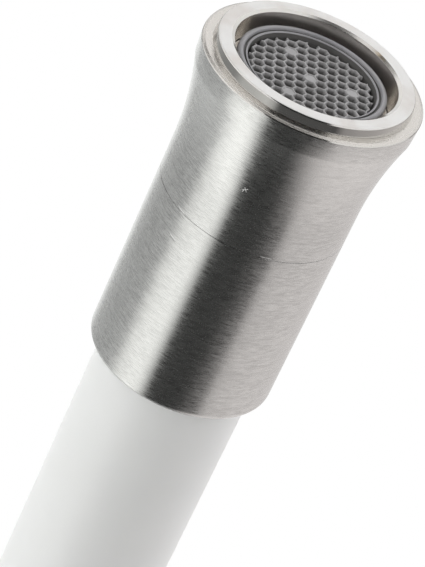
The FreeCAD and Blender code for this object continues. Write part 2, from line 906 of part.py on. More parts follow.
def cartridge_housing():
    cavity_radius = cartridge_radius - housing_wall
    outline = [
        (cavity_radius, fixed_disc_x),
        (cartridge_radius, fixed_disc_x),
        (cartridge_radius, housing_end_x),
        (neck_outer_radius, housing_end_x),
        (neck_outer_radius, housing_end_x + neck_length),
        (neck_bore_radius, housing_end_x + neck_length),
        (neck_bore_radius, cavity_end_x),
        (cavity_radius, cavity_end_x),
    ]
    return on_lever_axis(turned(outline))


def stem_carrier():
    """Gives the turning carrier: a flange inside the housing and a slotted nose that holds the stem's pin."""
    flange_start = cavity_end_x - carrier_flange_thickness
    nose_end = pivot_x + carrier_nose
    flange = x_disc(carrier_flange_radius, flange_start, cavity_end_x - turning_gap)
    carrier = flange.fuse(x_disc(stem_carrier_radius, flange_start, nose_end))
    half_width = stem_width / 2 + stem_side_gap
    slot = block(
        (flange_start, -half_width, -stem_slot_half_height),
        (nose_end, half_width, stem_slot_half_height),
    )
    carrier = carrier.cut(at_boss(slot))
    hole = cylinder(stem_pin_radius + turning_gap, (pivot_x, -dome_radius, 0), (pivot_x, dome_radius, 0))
    return carrier.cut(at_boss(hole))


def stem_pin():
    half_length = stem_carrier_radius - loose_gap
    pin = cylinder(stem_pin_radius, (pivot_x, -half_length, 0), (pivot_x, half_length, 0))
    return at_boss(pin)


def cartridge_stem():
    """Gives the stem: a rounded tip in the slider, a waist, and a square bar that the handle grips."""
    half_width = stem_width / 2
    tip_x = pivot_x - stem_arm
    tip = cylinder(stem_tip_radius, (tip_x, -half_width, 0), (tip_x, half_width, 0))
    waist_end = tip_x + stem_arm / 2
    half_waist = stem_waist_thickness / 2
    waist = block((tip_x, -half_width, -half_waist), (waist_end, half_width, half_waist))
    half = stem_thickness / 2
    bar = block((waist_end, -half_width, -half), (pivot_x + stem_reach, half_width, half))
    stem = tip.fuse(waist).fuse(bar)
    hole = cylinder(stem_pin_radius + turning_gap, (pivot_x, -half_width, 0), (pivot_x, half_width, 0))
    return at_boss(stem.cut(hole)).removeSplitter()


def gland_nut():
    outer_radius = cartridge_bore_radius - thread_gap
    inner_radius = neck_outer_radius + loose_gap
    end_x = housing_end_x + gland_nut_height
    nut = x_disc(outer_radius, housing_end_x, end_x).cut(x_disc(inner_radius, housing_end_x, end_x))
    for index in range(gland_notch_count):
        notch = block(
            (end_x - gland_notch_depth, inner_radius - loose_gap, -gland_notch_width / 2),
            (end_x, outer_radius - gland_notch_depth, gland_notch_width / 2),
        )
        notch.rotate(Vector(0, 0, 0), Vector(1, 0, 0), 360.0 * index / gland_notch_count)
        nut = nut.cut(at_boss(notch))
    return nut


def dome_cover():
    """Gives the round cover about the stem's pivot, with a skirt that screws into the boss."""
    inner_radius = dome_radius - dome_wall
    foot = boss_length - pivot_x
    outer_foot = math.sqrt(dome_radius ** 2 - foot ** 2)
    inner_foot = math.sqrt(inner_radius ** 2 - foot ** 2)
    skirt_bore = dome_skirt_radius - dome_skirt_wall
    outer_top = math.sqrt(dome_radius ** 2 - dome_opening_radius ** 2)
    inner_top = math.sqrt(inner_radius ** 2 - dome_opening_radius ** 2)
    outer_half = (math.atan2(outer_top, dome_opening_radius) + math.atan2(foot, outer_foot)) / 2
    inner_half = (math.atan2(inner_top, dome_opening_radius) + math.atan2(foot, inner_foot)) / 2
    outline = [
        (skirt_bore, boss_length - dome_skirt_length),
        (dome_skirt_radius, boss_length - dome_skirt_length),
        (dome_skirt_radius, boss_length),
        (outer_foot, boss_length),
        (
            (dome_radius * math.cos(outer_half), pivot_x + dome_radius * math.sin(outer_half)),
            (dome_opening_radius, pivot_x + outer_top),
        ),
        (dome_opening_radius, pivot_x + inner_top),
        (
            (inner_radius * math.cos(inner_half), pivot_x + inner_radius * math.sin(inner_half)),
            (inner_foot, boss_length),
        ),
        (skirt_bore, boss_length),
    ]
    return on_lever_axis(turned(outline))


def cap_rim_cutter():
    """Gives the wedge behind the cap's slanted rim, which leaves room for the lever's lift."""
    lift = math.radians(lift_degrees)
    far_rim_x = pivot_x + (boss_length - pivot_x + loose_gap + cap_radius * math.sin(lift)) / math.cos(lift)
    back_x = boss_length - cap_radius
    corners = [
        Vector(back_x, 0, cap_radius),
        Vector(cap_top_rim_x, 0, cap_radius),
        Vector(far_rim_x, 0, -cap_radius),
        Vector(back_x, 0, -cap_radius),
    ]
    face = Part.Face(Part.makePolygon(corners + [corners[0]]))
    wedge = face.extrude(Vector(0, 2 * cap_radius, 0))
    return wedge.translated(Vector(0, -cap_radius, 0))


def handle_cap():
    """Gives the cap over the dome, with the places for the stem, the rod, the grub screw and the plug."""
    outline = [
        (0, boss_length),
        (cap_radius, boss_length),
        (cap_radius, cap_end_x - cap_edge_radius),
        quarter((cap_radius - cap_edge_radius, cap_end_x - cap_edge_radius), cap_edge_radius, 0, 90),
        (0, cap_end_x),
    ]
    cap = turned(outline)
    cap.rotate(Vector(0, 0, 0), Vector(0, 1, 0), 90)
    cap = cap.cut(cap_rim_cutter())
    cap = cap.cut(Part.makeSphere(dome_radius + cap_gap, Vector(pivot_x, 0, 0)))
    throat_radius = dome_radius + cap_gap
    cap = cap.cut(cylinder(throat_radius, (boss_length - cap_radius, 0, 0), (pivot_x, 0, 0)))
    half_width = stem_width / 2 + turning_gap
    half_height = stem_thickness / 2 + turning_gap
    stem_end = pivot_x + stem_reach + loose_gap
    cap = cap.cut(block((pivot_x, -half_width, -half_height), (stem_end, half_width, half_height)))
    seat = cap_radius - rod_seat_depth
    cap = cap.cut(cylinder(rod_radius + turning_gap, (rod_x, 0, seat), (rod_x, 0, 2 * cap_radius)))
    thread_end = seat - rod_thread_length - loose_gap
    cap = cap.cut(cylinder(rod_thread_radius + thread_gap, (rod_x, 0, thread_end), (rod_x, 0, seat)))
    cap = cap.cut(cylinder(grub_radius + thread_gap, (grub_x, 0, 0), (grub_x, -2 * cap_radius, 0)))
    plug_floor = plug_depth - cap_radius
    cap = cap.cut(cylinder(plug_radius + turning_gap, (grub_x, plug_floor, 0), (grub_x, -2 * cap_radius, 0)))
    return at_boss(cap)


def lever_rod():
    """Gives the round lever with its threaded end in the cap and a softly rounded tip."""
    seat = cap_radius - rod_seat_depth
    top = cap_radius + rod_length
    outline = [
        (0, seat - rod_thread_length),
        (rod_thread_radius, seat - rod_thread_length),
        (rod_thread_radius, seat),
        (rod_radius, seat),
        (rod_radius, top - rod_end_radius),
        quarter((rod_radius - rod_end_radius, top - rod_end_radius), rod_end_radius, 0, 90),
        (0, top),
    ]
    return at_boss(turned(outline).translated(Vector(rod_x, 0, 0)))


def handle_grub_screw():
    start = stem_width / 2 + turning_gap
    screw = cylinder(grub_radius, (grub_x, -start, 0), (grub_x, -start - grub_length, 0))
    socket = hexagon(grub_radius, -grub_length / 2, 0)
    socket.rotate(Vector(0, 0, 0), Vector(1, 0, 0), -90)
    socket = socket.translated(Vector(grub_x, -start - grub_length, 0))
    return at_boss(screw.cut(socket))


def index_plug():
    """Gives the small plug over the grub screw, with a face that follows the cap's round side."""
    plug = cylinder(plug_radius, (grub_x, plug_depth - cap_radius, 0), (grub_x, -2 * cap_radius, 0))
    skin = cylinder(cap_radius + plug_stand_out, (pivot_x, 0, 0), (cap_end_x, 0, 0))
    return at_boss(plug.common(skin))


def write(name, shape):
    """Writes one node, and prints its volume so that a bad solid shows."""
    solids = shape.Solids
    piece = solids[0] if len(solids) == 1 else Part.makeCompound(solids)
    piece.exportStep(os.path.join("parts", name + ".step"))
    print(f"{name}: {len(solids)} solids, {piece.Volume:.1f} mm3, valid {piece.isValid()}")


pieces = {
    "base_gasket": base_gasket(),
    "base_ring": base_ring(),
    "mounting_shank": mounting_shank(),
    "clamp_rubber_washer": clamp_rubber_washer(),
    "clamp_steel_washer": clamp_steel_washer(),
    "clamp_nut": clamp_nut(),
    "jack_screws": jack_screws(),
    "mixer_body": mixer_body(),
    "cartridge_boss": cartridge_boss(),
    "spout_retaining_screw": spout_retaining_screw(),
    "slip_ring": slip_ring(),
    "spout_spigot": spout_spigot(),
    "spigot_o_rings": spigot_o_rings(),
    "spout_ferrule": spout_ferrule(),
    "foot_crimp_ring": crimp_ring(spigot_flange_top),
    "neck_sleeve_rise": neck_sleeve_rise(),
    "neck_sleeve_crown": neck_sleeve_crown(),
    "neck_sleeve_fall": neck_sleeve_fall(),
    "neck_sleeve_drop": neck_sleeve_drop(),
    "neck_sleeve_end": neck_sleeve_end(),
    "bending_core_crown": inner_over_crown(core_radius, core_bore_radius),
    "bending_core_drop": inner_at_drop(core_radius, core_bore_radius),
    "water_hose_crown": inner_over_crown(hose_radius, hose_bore_radius),
    "water_hose_drop": inner_at_drop(hose_radius, hose_bore_radius),
    "outlet_head": outlet_head(),
    "rear_sleeve": rear_sleeve(),
    "nozzle_connector": nozzle_connector(),
    "connector_o_ring": connector_o_ring(),
    "nozzle_crimp_ring": crimp_ring(connector_collar_foot).translated(Vector(0, -neck_reach, 0)),
    "aerator_shell": aerator_shell(),
    "aerator_insert": aerator_insert(),
    "aerator_honeycomb": aerator_honeycomb(),
    "aerator_jet_plate": aerator_jet_plate(),
    "aerator_filter": aerator_filter(),
    "aerator_washer": aerator_washer(),
    "cartridge_seals": cartridge_seals(),
    "cartridge_base": cartridge_base(),
    "cartridge_housing": cartridge_housing(),
    "fixed_ceramic_disc": fixed_ceramic_disc(),
    "moving_ceramic_disc": moving_ceramic_disc(),
    "disc_slider": disc_slider(),
    "stem_carrier": stem_carrier(),
    "stem_pin": stem_pin(),
    "cartridge_stem": cartridge_stem(),
    "gland_nut": gland_nut(),
    "dome_cover": dome_cover(),
    "handle_cap": handle_cap(),
    "lever_rod": lever_rod(),
    "handle_grub_screw": handle_grub_screw(),
    "index_plug": index_plug(),
}

os.makedirs("parts", exist_ok=True)
for piece_name, piece_shape in pieces.items():
    write(piece_name, piece_shape)
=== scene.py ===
"""Looks of a kitchen mixer tap with a bendable white neck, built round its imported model.

Shapes are given in millimetres and placed in the model's own frame: +Z is up, the neck reaches towards -Y and
the lever is on +X. Meshes and the scene are in metres.
"""

import json
import logging
import math
from dataclasses import dataclass
from enum import Enum
from itertools import accumulate
from typing import Callable, Iterable, Optional, Sequence, Union

import bmesh
import bpy
from bpy.types import ColorRamp, Material, Mesh, Node, NodeSocket, Object, World
from mathutils import Matrix, Vector


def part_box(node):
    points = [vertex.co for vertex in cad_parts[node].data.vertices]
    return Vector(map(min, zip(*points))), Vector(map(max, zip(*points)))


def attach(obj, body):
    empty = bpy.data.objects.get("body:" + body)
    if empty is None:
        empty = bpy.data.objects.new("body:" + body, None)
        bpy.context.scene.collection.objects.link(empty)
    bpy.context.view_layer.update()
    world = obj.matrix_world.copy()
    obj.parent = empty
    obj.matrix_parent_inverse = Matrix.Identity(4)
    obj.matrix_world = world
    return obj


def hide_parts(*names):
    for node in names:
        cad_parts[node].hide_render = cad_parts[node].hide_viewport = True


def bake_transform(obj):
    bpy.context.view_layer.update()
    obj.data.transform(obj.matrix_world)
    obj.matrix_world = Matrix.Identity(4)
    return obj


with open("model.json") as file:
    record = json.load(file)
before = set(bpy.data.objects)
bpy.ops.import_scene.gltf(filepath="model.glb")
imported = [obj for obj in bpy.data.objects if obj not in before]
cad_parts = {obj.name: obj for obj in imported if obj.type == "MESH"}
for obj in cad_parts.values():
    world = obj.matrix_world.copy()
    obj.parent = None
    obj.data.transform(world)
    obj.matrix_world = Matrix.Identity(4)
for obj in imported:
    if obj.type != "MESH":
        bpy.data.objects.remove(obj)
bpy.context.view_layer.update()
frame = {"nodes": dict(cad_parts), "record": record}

LOG = logging.getLogger("kitchen_tap")
MM = 0.001
SHARP_DEGREES = 32.0
FULL_TURN = 2 * math.pi

Colour = tuple[float, float, float]
Place = tuple[float, float, float]
Step = tuple[float, float]
Bodies = Union[str, tuple[str, str]]
Path = list[tuple[Vector, Vector]]
SocketKey = Union[int, str]
Sockets = Optional[dict[SocketKey, object]]
Inputs = dict[str, object]

ORIGIN: Place = (0.0, 0.0, 0.0)
WHITE: Colour = (1.0, 1.0, 1.0)
UP = Vector((0.0, 0.0, 1.0))


class Axis(Enum):
    """The way that a turned piece's axis runs."""

    UPRIGHT = "z"
    ACROSS = "x"


def scaled(values: Iterable[float], share: float) -> tuple[float, ...]:
    """Gives a colour or a place with each part times a share."""
    return tuple(part * share for part in values)


def operator(operation: str, number_first: bool = False) -> "Callable[[Value, Number], Value]":
    """Makes an operator of Value, as a Math node with the two operands in their order."""

    def operate(value: "Value", other: "Number") -> "Value":
        """Adds the node."""
        return value.tree.maths(operation, *((other, value) if number_first else (value, other)))

    return operate


class Value:
    """A socket of a node tree that takes Python's operators, and adds the Math nodes that they need."""

    __add__ = operator("ADD")
    __radd__ = operator("ADD", number_first=True)
    __sub__ = operator("SUBTRACT")
    __rsub__ = operator("SUBTRACT", number_first=True)
    __mul__ = operator("MULTIPLY")
    __rmul__ = operator("MULTIPLY", number_first=True)
    __truediv__ = operator("DIVIDE")
    __rtruediv__ = operator("DIVIDE", number_first=True)
    __lt__ = operator("LESS_THAN")
    __gt__ = operator("GREATER_THAN")

    def __init__(self, tree: "NodeTree", socket: NodeSocket) -> None:
        """Wraps a socket."""
        self.tree = tree
        self.socket = socket

    def swing(self, size: float) -> "Value":
        """Gives a pattern between 0 and 1 as a swing of a size about nothing."""
        return (self - 0.5) * size


Number = Union[Value, float, int]


class NodeTree:
    """A node tree that is written as calls and expressions."""

    def __init__(self, tree: bpy.types.NodeTree) -> None:
        """Takes a tree and empties it."""
        self.tree = tree
        self.tree.nodes.clear()

    def node(self, kind: str, inputs: Sockets = None, **settings: object) -> Node:
        """Adds any node.

        Args:
            kind: The node's type.
            inputs: Values or links for its sockets, by name or number.
            settings: The node's own properties, set first. "stops" are a colour ramp's (place, colour) pairs.

        Returns:
            The node.
        """
        made = self.tree.nodes.new(kind)
        for name, value in settings.items():
            if name == "stops":
                self._set_stops(made.color_ramp, value)
            else:
                setattr(made, name, value)
        for name, value in (inputs or {}).items():
            self.feed(made.inputs[name], value)
        return made

    def out(self, kind: str, inputs: Sockets = None, output: SocketKey = 0, **settings: object) -> Value:
        """Adds any node and gives one of its outputs."""
        return Value(self, self.node(kind, inputs, **settings).outputs[output])

    def feed(self, socket: NodeSocket, value: object) -> None:
        """Links a value to a socket, or sets the socket's own number."""
        if isinstance(value, Value):
            self.tree.links.new(value.socket, socket)
        else:
            socket.default_value = value

    def maths(self, operation: str, *operands: Number) -> Value:
        """Adds a Math node."""
        return self.out("ShaderNodeMath", dict(enumerate(operands)), operation=operation)

    def vector(self, operation: str, *operands: object) -> Value:
        """Adds a Vector Math node."""
        return self.out("ShaderNodeVectorMath", dict(enumerate(operands)), operation=operation)

    def xyz(self, vector: Value) -> list[Value]:
        """Splits a vector."""
        split = self.node("ShaderNodeSeparateXYZ", {0: vector})
        return [Value(self, split.outputs[index]) for index in range(3)]

    def join_xyz(self, x: Number, y: Number, z: Number) -> Value:
        """Joins three numbers to a vector."""
        return self.out("ShaderNodeCombineXYZ", {0: x, 1: y, 2: z})

    def reach(self, x: Value, y: Value) -> Value:
        """Gives the distance from the axis of a place that is x and y away from it."""
        return self.maths("SQRT", x * x + y * y)

    def ramp(self, value: Number, low: float, high: float, start: float = 0.0, end: float = 1.0) -> Value:
        """Gives a smooth step from one number to another as a value goes from low to high."""
        inputs = {0: value, 1: low, 2: high, 3: start, 4: end}
        return self.out("ShaderNodeMapRange", inputs, interpolation_type="SMOOTHSTEP")

    @staticmethod
    def _set_stops(colour_ramp: ColorRamp, stops: Sequence[tuple[float, Colour]]) -> None:
        """Sets a colour ramp's stops."""
        while len(colour_ramp.elements) > 1:
            colour_ramp.elements.remove(colour_ramp.elements[-1])
        for index, (place, colour) in enumerate(stops):
            element = colour_ramp.elements[0] if index == 0 else colour_ramp.elements.new(place)
            element.position = place
            element.color = (*colour, 1.0)


class Shader(NodeTree):
    """A material's or a world's node tree."""

    def __init__(self, owner: Union[Material, World]) -> None:
        """Turns an owner's nodes on and empties them."""
        owner.use_nodes = True
        super().__init__(owner.node_tree)

    def mix(self, factor: Number, first: object, second: object) -> Value:
        """Mixes two colours."""
        inputs = {0: factor, 6: self._four(first), 7: self._four(second)}
        return self.out("ShaderNodeMix", inputs, 2, data_type="RGBA")

    def mix_shaders(self, factor: Value, first: Value, second: Value) -> Value:
        """Mixes two shaders."""
        return self.out("ShaderNodeMixShader", {0: factor, 1: first, 2: second})

    def noise(self, vector: Value, scale: float, detail: float = 2.0) -> Value:
        """Gives a noise pattern's value."""
        return self.out("ShaderNodeTexNoise", {"Vector": vector, "Scale": scale, "Detail": detail})

    def place(self, centre: Place = ORIGIN) -> Value:
        """Gives the piece's own coordinates, counted from a centre."""
        return self.vector("SUBTRACT", self.out("ShaderNodeTexCoord", {}, "Object"), centre)

    def bump(self, height: Number, strength: float, distance_mm: float) -> Value:
        """Gives the normal of a height pattern."""
        inputs = {"Strength": strength, "Distance": distance_mm * MM, "Height": height}
        return self.out("ShaderNodeBump", inputs)

    def principled(self, inputs: Inputs) -> Value:
        """Adds a Principled shader."""
        given = {name: self._four(value) if "Color" in name else value for name, value in inputs.items()}
        return self.out("ShaderNodeBsdfPrincipled", given)

    @staticmethod
    def _four(colour: object) -> object:
        """Gives a plain colour its fourth number."""
        return (*colour, 1.0) if isinstance(colour, tuple) and len(colour) == 3 else colour


@dataclass(frozen=True)
class Scratch:
    """A tiny scratch on an upright piece: where it lies, how long it is and how it runs.

    The bearing is in degrees from +X round +Z, and the lean from the level up. Sizes are in millimetres.
    """

    bearing: float
    height: float
    length: float
    lean: float
    width: float = 0.06
    tone: float = 0.85

    def mask(self, tree: Shader, here: Value) -> Value:
        """Gives 1 on the scratch and 0 beside it.

        Args:
            tree: The material's tree.
            here: The place counted from the piece's axis.

        Returns:
            The mask.
        """
        x, y, z = tree.xyz(here)
        bearing = math.radians(self.bearing)
        forward = x * math.cos(bearing) + y * math.sin(bearing)
        level = y * math.cos(bearing) - x * math.sin(bearing)
        rise = z - self.height * MM
        lean = math.radians(self.lean)
        along = tree.maths("ABSOLUTE", level * math.cos(lean) + rise * math.sin(lean))
        across = tree.maths("ABSOLUTE", rise * math.cos(lean) - level * math.sin(lean))
        length = self.length * MM / 2
        width = self.width * MM / 2
        ends = tree.ramp(along, length * 0.6, length, 1.0, 0.0)
        sides = tree.ramp(across, width * 0.3, width, 1.0, 0.0)
        return ends * sides * (forward > 0.0)


@dataclass(frozen=True)
class Finish:
    """A material's recipe. Each kind says what its Principled shader is given."""

    name: str

    def material(self) -> Material:
        """Builds the material."""
        made = bpy.data.materials.new(self.name)
        tree = Shader(made)
        tree.node("ShaderNodeOutputMaterial", {"Surface": tree.principled(self.inputs(tree))})
        return made

    def inputs(self, tree: Shader) -> Inputs:
        """Gives the shader's values and links, by the names of its inputs."""
        raise NotImplementedError


@dataclass(frozen=True)
class BrushedSteel(Finish):
    """Stainless steel that was brushed on the lathe, so that its lines go round the piece."""

    axis: Axis = Axis.UPRIGHT
    centre: Place = ORIGIN
    colour: Colour = (0.63, 0.627, 0.617)
    roughness: float = 0.275
    anisotropy: float = 0.82
    turn: float = 0.25
    line_length_mm: float = 1.35
    line_width_mm: float = 0.12
    line_depth_mm: float = 0.008
    line_contrast: float = 0.27
    scratches: tuple[Scratch, ...] = ()

    def inputs(self, tree: Shader) -> Inputs:
        """Gives noise that is drawn out into brush lines, with the scratches over it."""
        here = tree.place(self.centre)
        turned = self._unrolled(tree, here)
        lines = tree.noise(turned, 1.0, 3.0)
        wide = tree.noise(tree.vector("MULTIPLY", turned, (0.2, 0.2, 0.2)), 1.0)
        cloud = tree.noise(here, 45.0)
        streak = tree.ramp(lines * 0.8 + wide * 0.2, 0.36, 0.64)
        colour = tree.mix(streak, scaled(self.colour, 1 - self.line_contrast), self.colour)
        roughness = self.roughness + lines.swing(0.36) + wide.swing(0.06) + cloud.swing(0.05)
        metallic = 1.0
        for scratch in self.scratches:
            mask = scratch.mask(tree, here)
            metallic = metallic - mask * (0.7 if scratch.tone > 0.5 else 0.0)
            colour = tree.mix(mask * 0.8, colour, (scratch.tone, scratch.tone, scratch.tone * 0.99))
            roughness = roughness + mask * 0.25
        return {
            "Base Color": colour,
            "Metallic": metallic,
            "Roughness": roughness,
            "Anisotropic": self.anisotropy,
            "Anisotropic Rotation": self.turn,
            "Normal": tree.bump(lines, 0.3, self.line_depth_mm),
        }

    def _unrolled(self, tree: Shader, here: Value) -> Value:
        """Gives coordinates in which a cell has a brush line's length and width, on walls and flat faces."""
        first, second, third = tree.xyz(here)
        across, aside, along = (first, second, third) if self.axis is Axis.UPRIGHT else (third, second, first)
        out = tree.reach(across, aside)
        length = self.line_length_mm * MM
        return tree.join_xyz(across / length, aside / length, (along - out) / (self.line_width_mm * MM))


@dataclass(frozen=True)
class PolishedSteel(Finish):
    """Polished steel with the faint rings that the tool left."""

    centre: Place = ORIGIN
    colour: Colour = (0.66, 0.645, 0.62)
    roughness: float = 0.12
    ring_width_mm: float = 0.12
    ring_depth_mm: float = 0.002

    def inputs(self, tree: Shader) -> Inputs:
        """Gives rings round the axis under a faint smear."""
        here = tree.place(self.centre)
        x, y, z = tree.xyz(here)
        scale = 1 / (self.ring_width_mm * MM)
        rings = tree.noise(tree.join_xyz(tree.reach(x, y) * scale, z * scale, 0.0), 1.0)
        smear = tree.noise(here, 260.0, 3.0)
        return {
            "Base Color": tree.mix(smear, scaled(self.colour, 0.95), self.colour),
            "Metallic": 1.0,
            "Roughness": self.roughness + smear.swing(0.08) + rings.swing(0.05),
            "Normal": tree.bump(rings, 0.3, self.ring_depth_mm),
        }


@dataclass(frozen=True)
class SatinSteel(Finish):
    """The blasted steel of the mouth's flat faces, with a fine grain."""

    colour: Colour = (0.76, 0.755, 0.75)
    stained: Colour = (0.684, 0.65685, 0.6375)
    roughness: float = 0.42
    grain_mm: float = 0.18
    grain_depth_mm: float = 0.012

    def inputs(self, tree: Shader) -> Inputs:
        """Gives a grain with warm stains."""
        here = tree.place()
        grain = tree.noise(here, 1 / (self.grain_mm * MM), 3.0)
        stain = tree.noise(here, 170.0, 3.0)
        return {
            "Base Color": tree.mix(tree.ramp(stain, 0.42, 0.7), self.colour, self.stained),
            "Metallic": 1.0,
            "Roughness": self.roughness + grain.swing(0.2),
            "Normal": tree.bump(grain, 0.5, self.grain_depth_mm),
        }


@dataclass(frozen=True)
class SatinSilicone(Finish):
    """The neck's smooth white silicone, with a satin skin that picks up a little dust."""

    colour: Colour = (0.83, 0.836, 0.831)
    dusty: Colour = (0.80095, 0.808412, 0.801915)
    roughness: float = 0.42
    skin_mm: float = 0.5
    skin_depth_mm: float = 0.004

    def inputs(self, tree: Shader) -> Inputs:
        """Gives a soft skin with a slightly cloudy colour."""
        here = tree.place()
        skin = tree.noise(here, 1 / (self.skin_mm * MM))
        cloud = tree.noise(here, 38.0, 3.0)
        return {
            "Base Color": tree.mix(tree.ramp(cloud, 0.35, 0.75), self.colour, self.dusty),
            "Roughness": self.roughness + cloud.swing(0.12) + skin.swing(0.05),
            "Subsurface Weight": 0.12,
            "Subsurface Radius": (0.004, 0.004, 0.0035),
            "Subsurface Scale": 1.0,
            "Normal": tree.bump(skin, 0.25, self.skin_depth_mm),
        }


@dataclass(frozen=True)
class Moulded(Finish):
    """A moulded plastic, rubber or ceramic with a fine grain and a slightly uneven colour."""

    colour: Colour
    shade: Colour
    roughness: float
    grain_mm: float = 0.35
    grain_depth_mm: float = 0.01

    def inputs(self, tree: Shader) -> Inputs:
        """Gives a grain over a cloudy colour."""
        here = tree.place()
        grain = tree.noise(here, 1 / (self.grain_mm * MM), 3.0)
        cloud = tree.noise(here, 120.0, 3.0)
        return {
            "Base Color": tree.mix(tree.ramp(cloud, 0.3, 0.7), self.colour, self.shade),
            "Roughness": self.roughness + grain.swing(0.16),
            "Normal": tree.bump(grain, 0.35, self.grain_depth_mm),
        }


@dataclass(frozen=True)
class WebPlastic(Finish):
    """The honeycomb's grey plastic, paler on the crests, with painted shade deep in the cells."""

    crest: Place
    colour: Colour = (0.435, 0.43, 0.44)
    shade: Colour = (0.36, 0.355, 0.36)
    # Painted shade, which the colour reaches deep in the cells
    deep: Colour = (0.185, 0.18, 0.175)
    shade_fade_mm: Step = (0.1, 0.75)

    def inputs(self, tree: Shader) -> Inputs:
        """Gives a grain over a colour that darkens with the depth under the crests, which is painted shade.
        """
        here = tree.place(self.crest)
        grain = tree.noise(here, 5000.0, 3.0)
        cloud = tree.noise(here, 150.0, 3.0)
        # How far the painted shade has grown, by the depth under the crests
        depth = tree.ramp(tree.xyz(here)[2], *scaled(self.shade_fade_mm, MM))
        face = tree.mix(tree.ramp(cloud, 0.3, 0.7), self.colour, self.shade)
        return {
            "Base Color": tree.mix(depth, face, self.deep),
            "Roughness": 0.4 + grain.swing(0.16),
            "Normal": tree.bump(grain, 0.35, 0.01),
        }


@dataclass(frozen=True)
class TurnedMetal(Finish):
    """Plain turned metal, brass or steel, with tool rings and a dull bloom in places."""

    colour: Colour
    bloom: Colour
    roughness: float
    ring_mm: float = 0.25

    def inputs(self, tree: Shader) -> Inputs:
        """Gives rings up the axis, with the bloom in clouds."""
        here = tree.place()
        x, y, z = tree.xyz(here)
        rings = tree.noise(tree.join_xyz(x * 60, y * 60, z / (self.ring_mm * MM)), 1.0)
        cloud = tree.noise(here, 90.0, 4.0)
        return {
            "Base Color": tree.mix(tree.ramp(cloud, 0.45, 0.75), self.colour, self.bloom),
            "Metallic": 1.0,
            "Roughness": self.roughness + rings.swing(0.12) + cloud.swing(0.2),
            "Normal": tree.bump(rings, 0.3, 0.006),
        }


@dataclass(frozen=True)
class ClearHose(Finish):
    """The milky inner water hose."""

    colour: Colour = (0.78, 0.80, 0.78)

    def inputs(self, tree: Shader) -> Inputs:
        """Gives a cloudy, half clear plastic."""
        cloud = tree.noise(tree.place(), 200.0, 3.0)
        return {
            "Base Color": tree.mix(cloud, self.colour, scaled(self.colour, 0.9)),
            "Roughness": 0.3 + cloud.swing(0.2),
            "Transmission Weight": 0.25,
        }


@dataclass(frozen=True)
class HotColdIndex(Finish):
    """The plug's gloss plastic: red in its upper half and blue in its lower one."""

    middle: Place
    red: Colour = (0.62, 0.03, 0.03)
    blue: Colour = (0.03, 0.10, 0.5)
    line_mm: float = 0.12

    def inputs(self, tree: Shader) -> Inputs:
        """Gives the two colours, which meet at the middle's height."""
        here = tree.place(self.middle)
        upper = tree.ramp(tree.xyz(here)[2], -self.line_mm * MM / 2, self.line_mm * MM / 2)
        grain = tree.noise(here, 900.0)
        return {
            "Base Color": tree.mix(upper, self.blue, self.red),
            "Roughness": 0.22 + grain.swing(0.1),
            "Coat Weight": 0.4,
        }


@dataclass(frozen=True)
class Corner:
    """A corner of a turned outline, in millimetres, with the finish of the run that starts there."""

    radius: float
    height: float
    edge: float = 0.0
    finish: int = 0


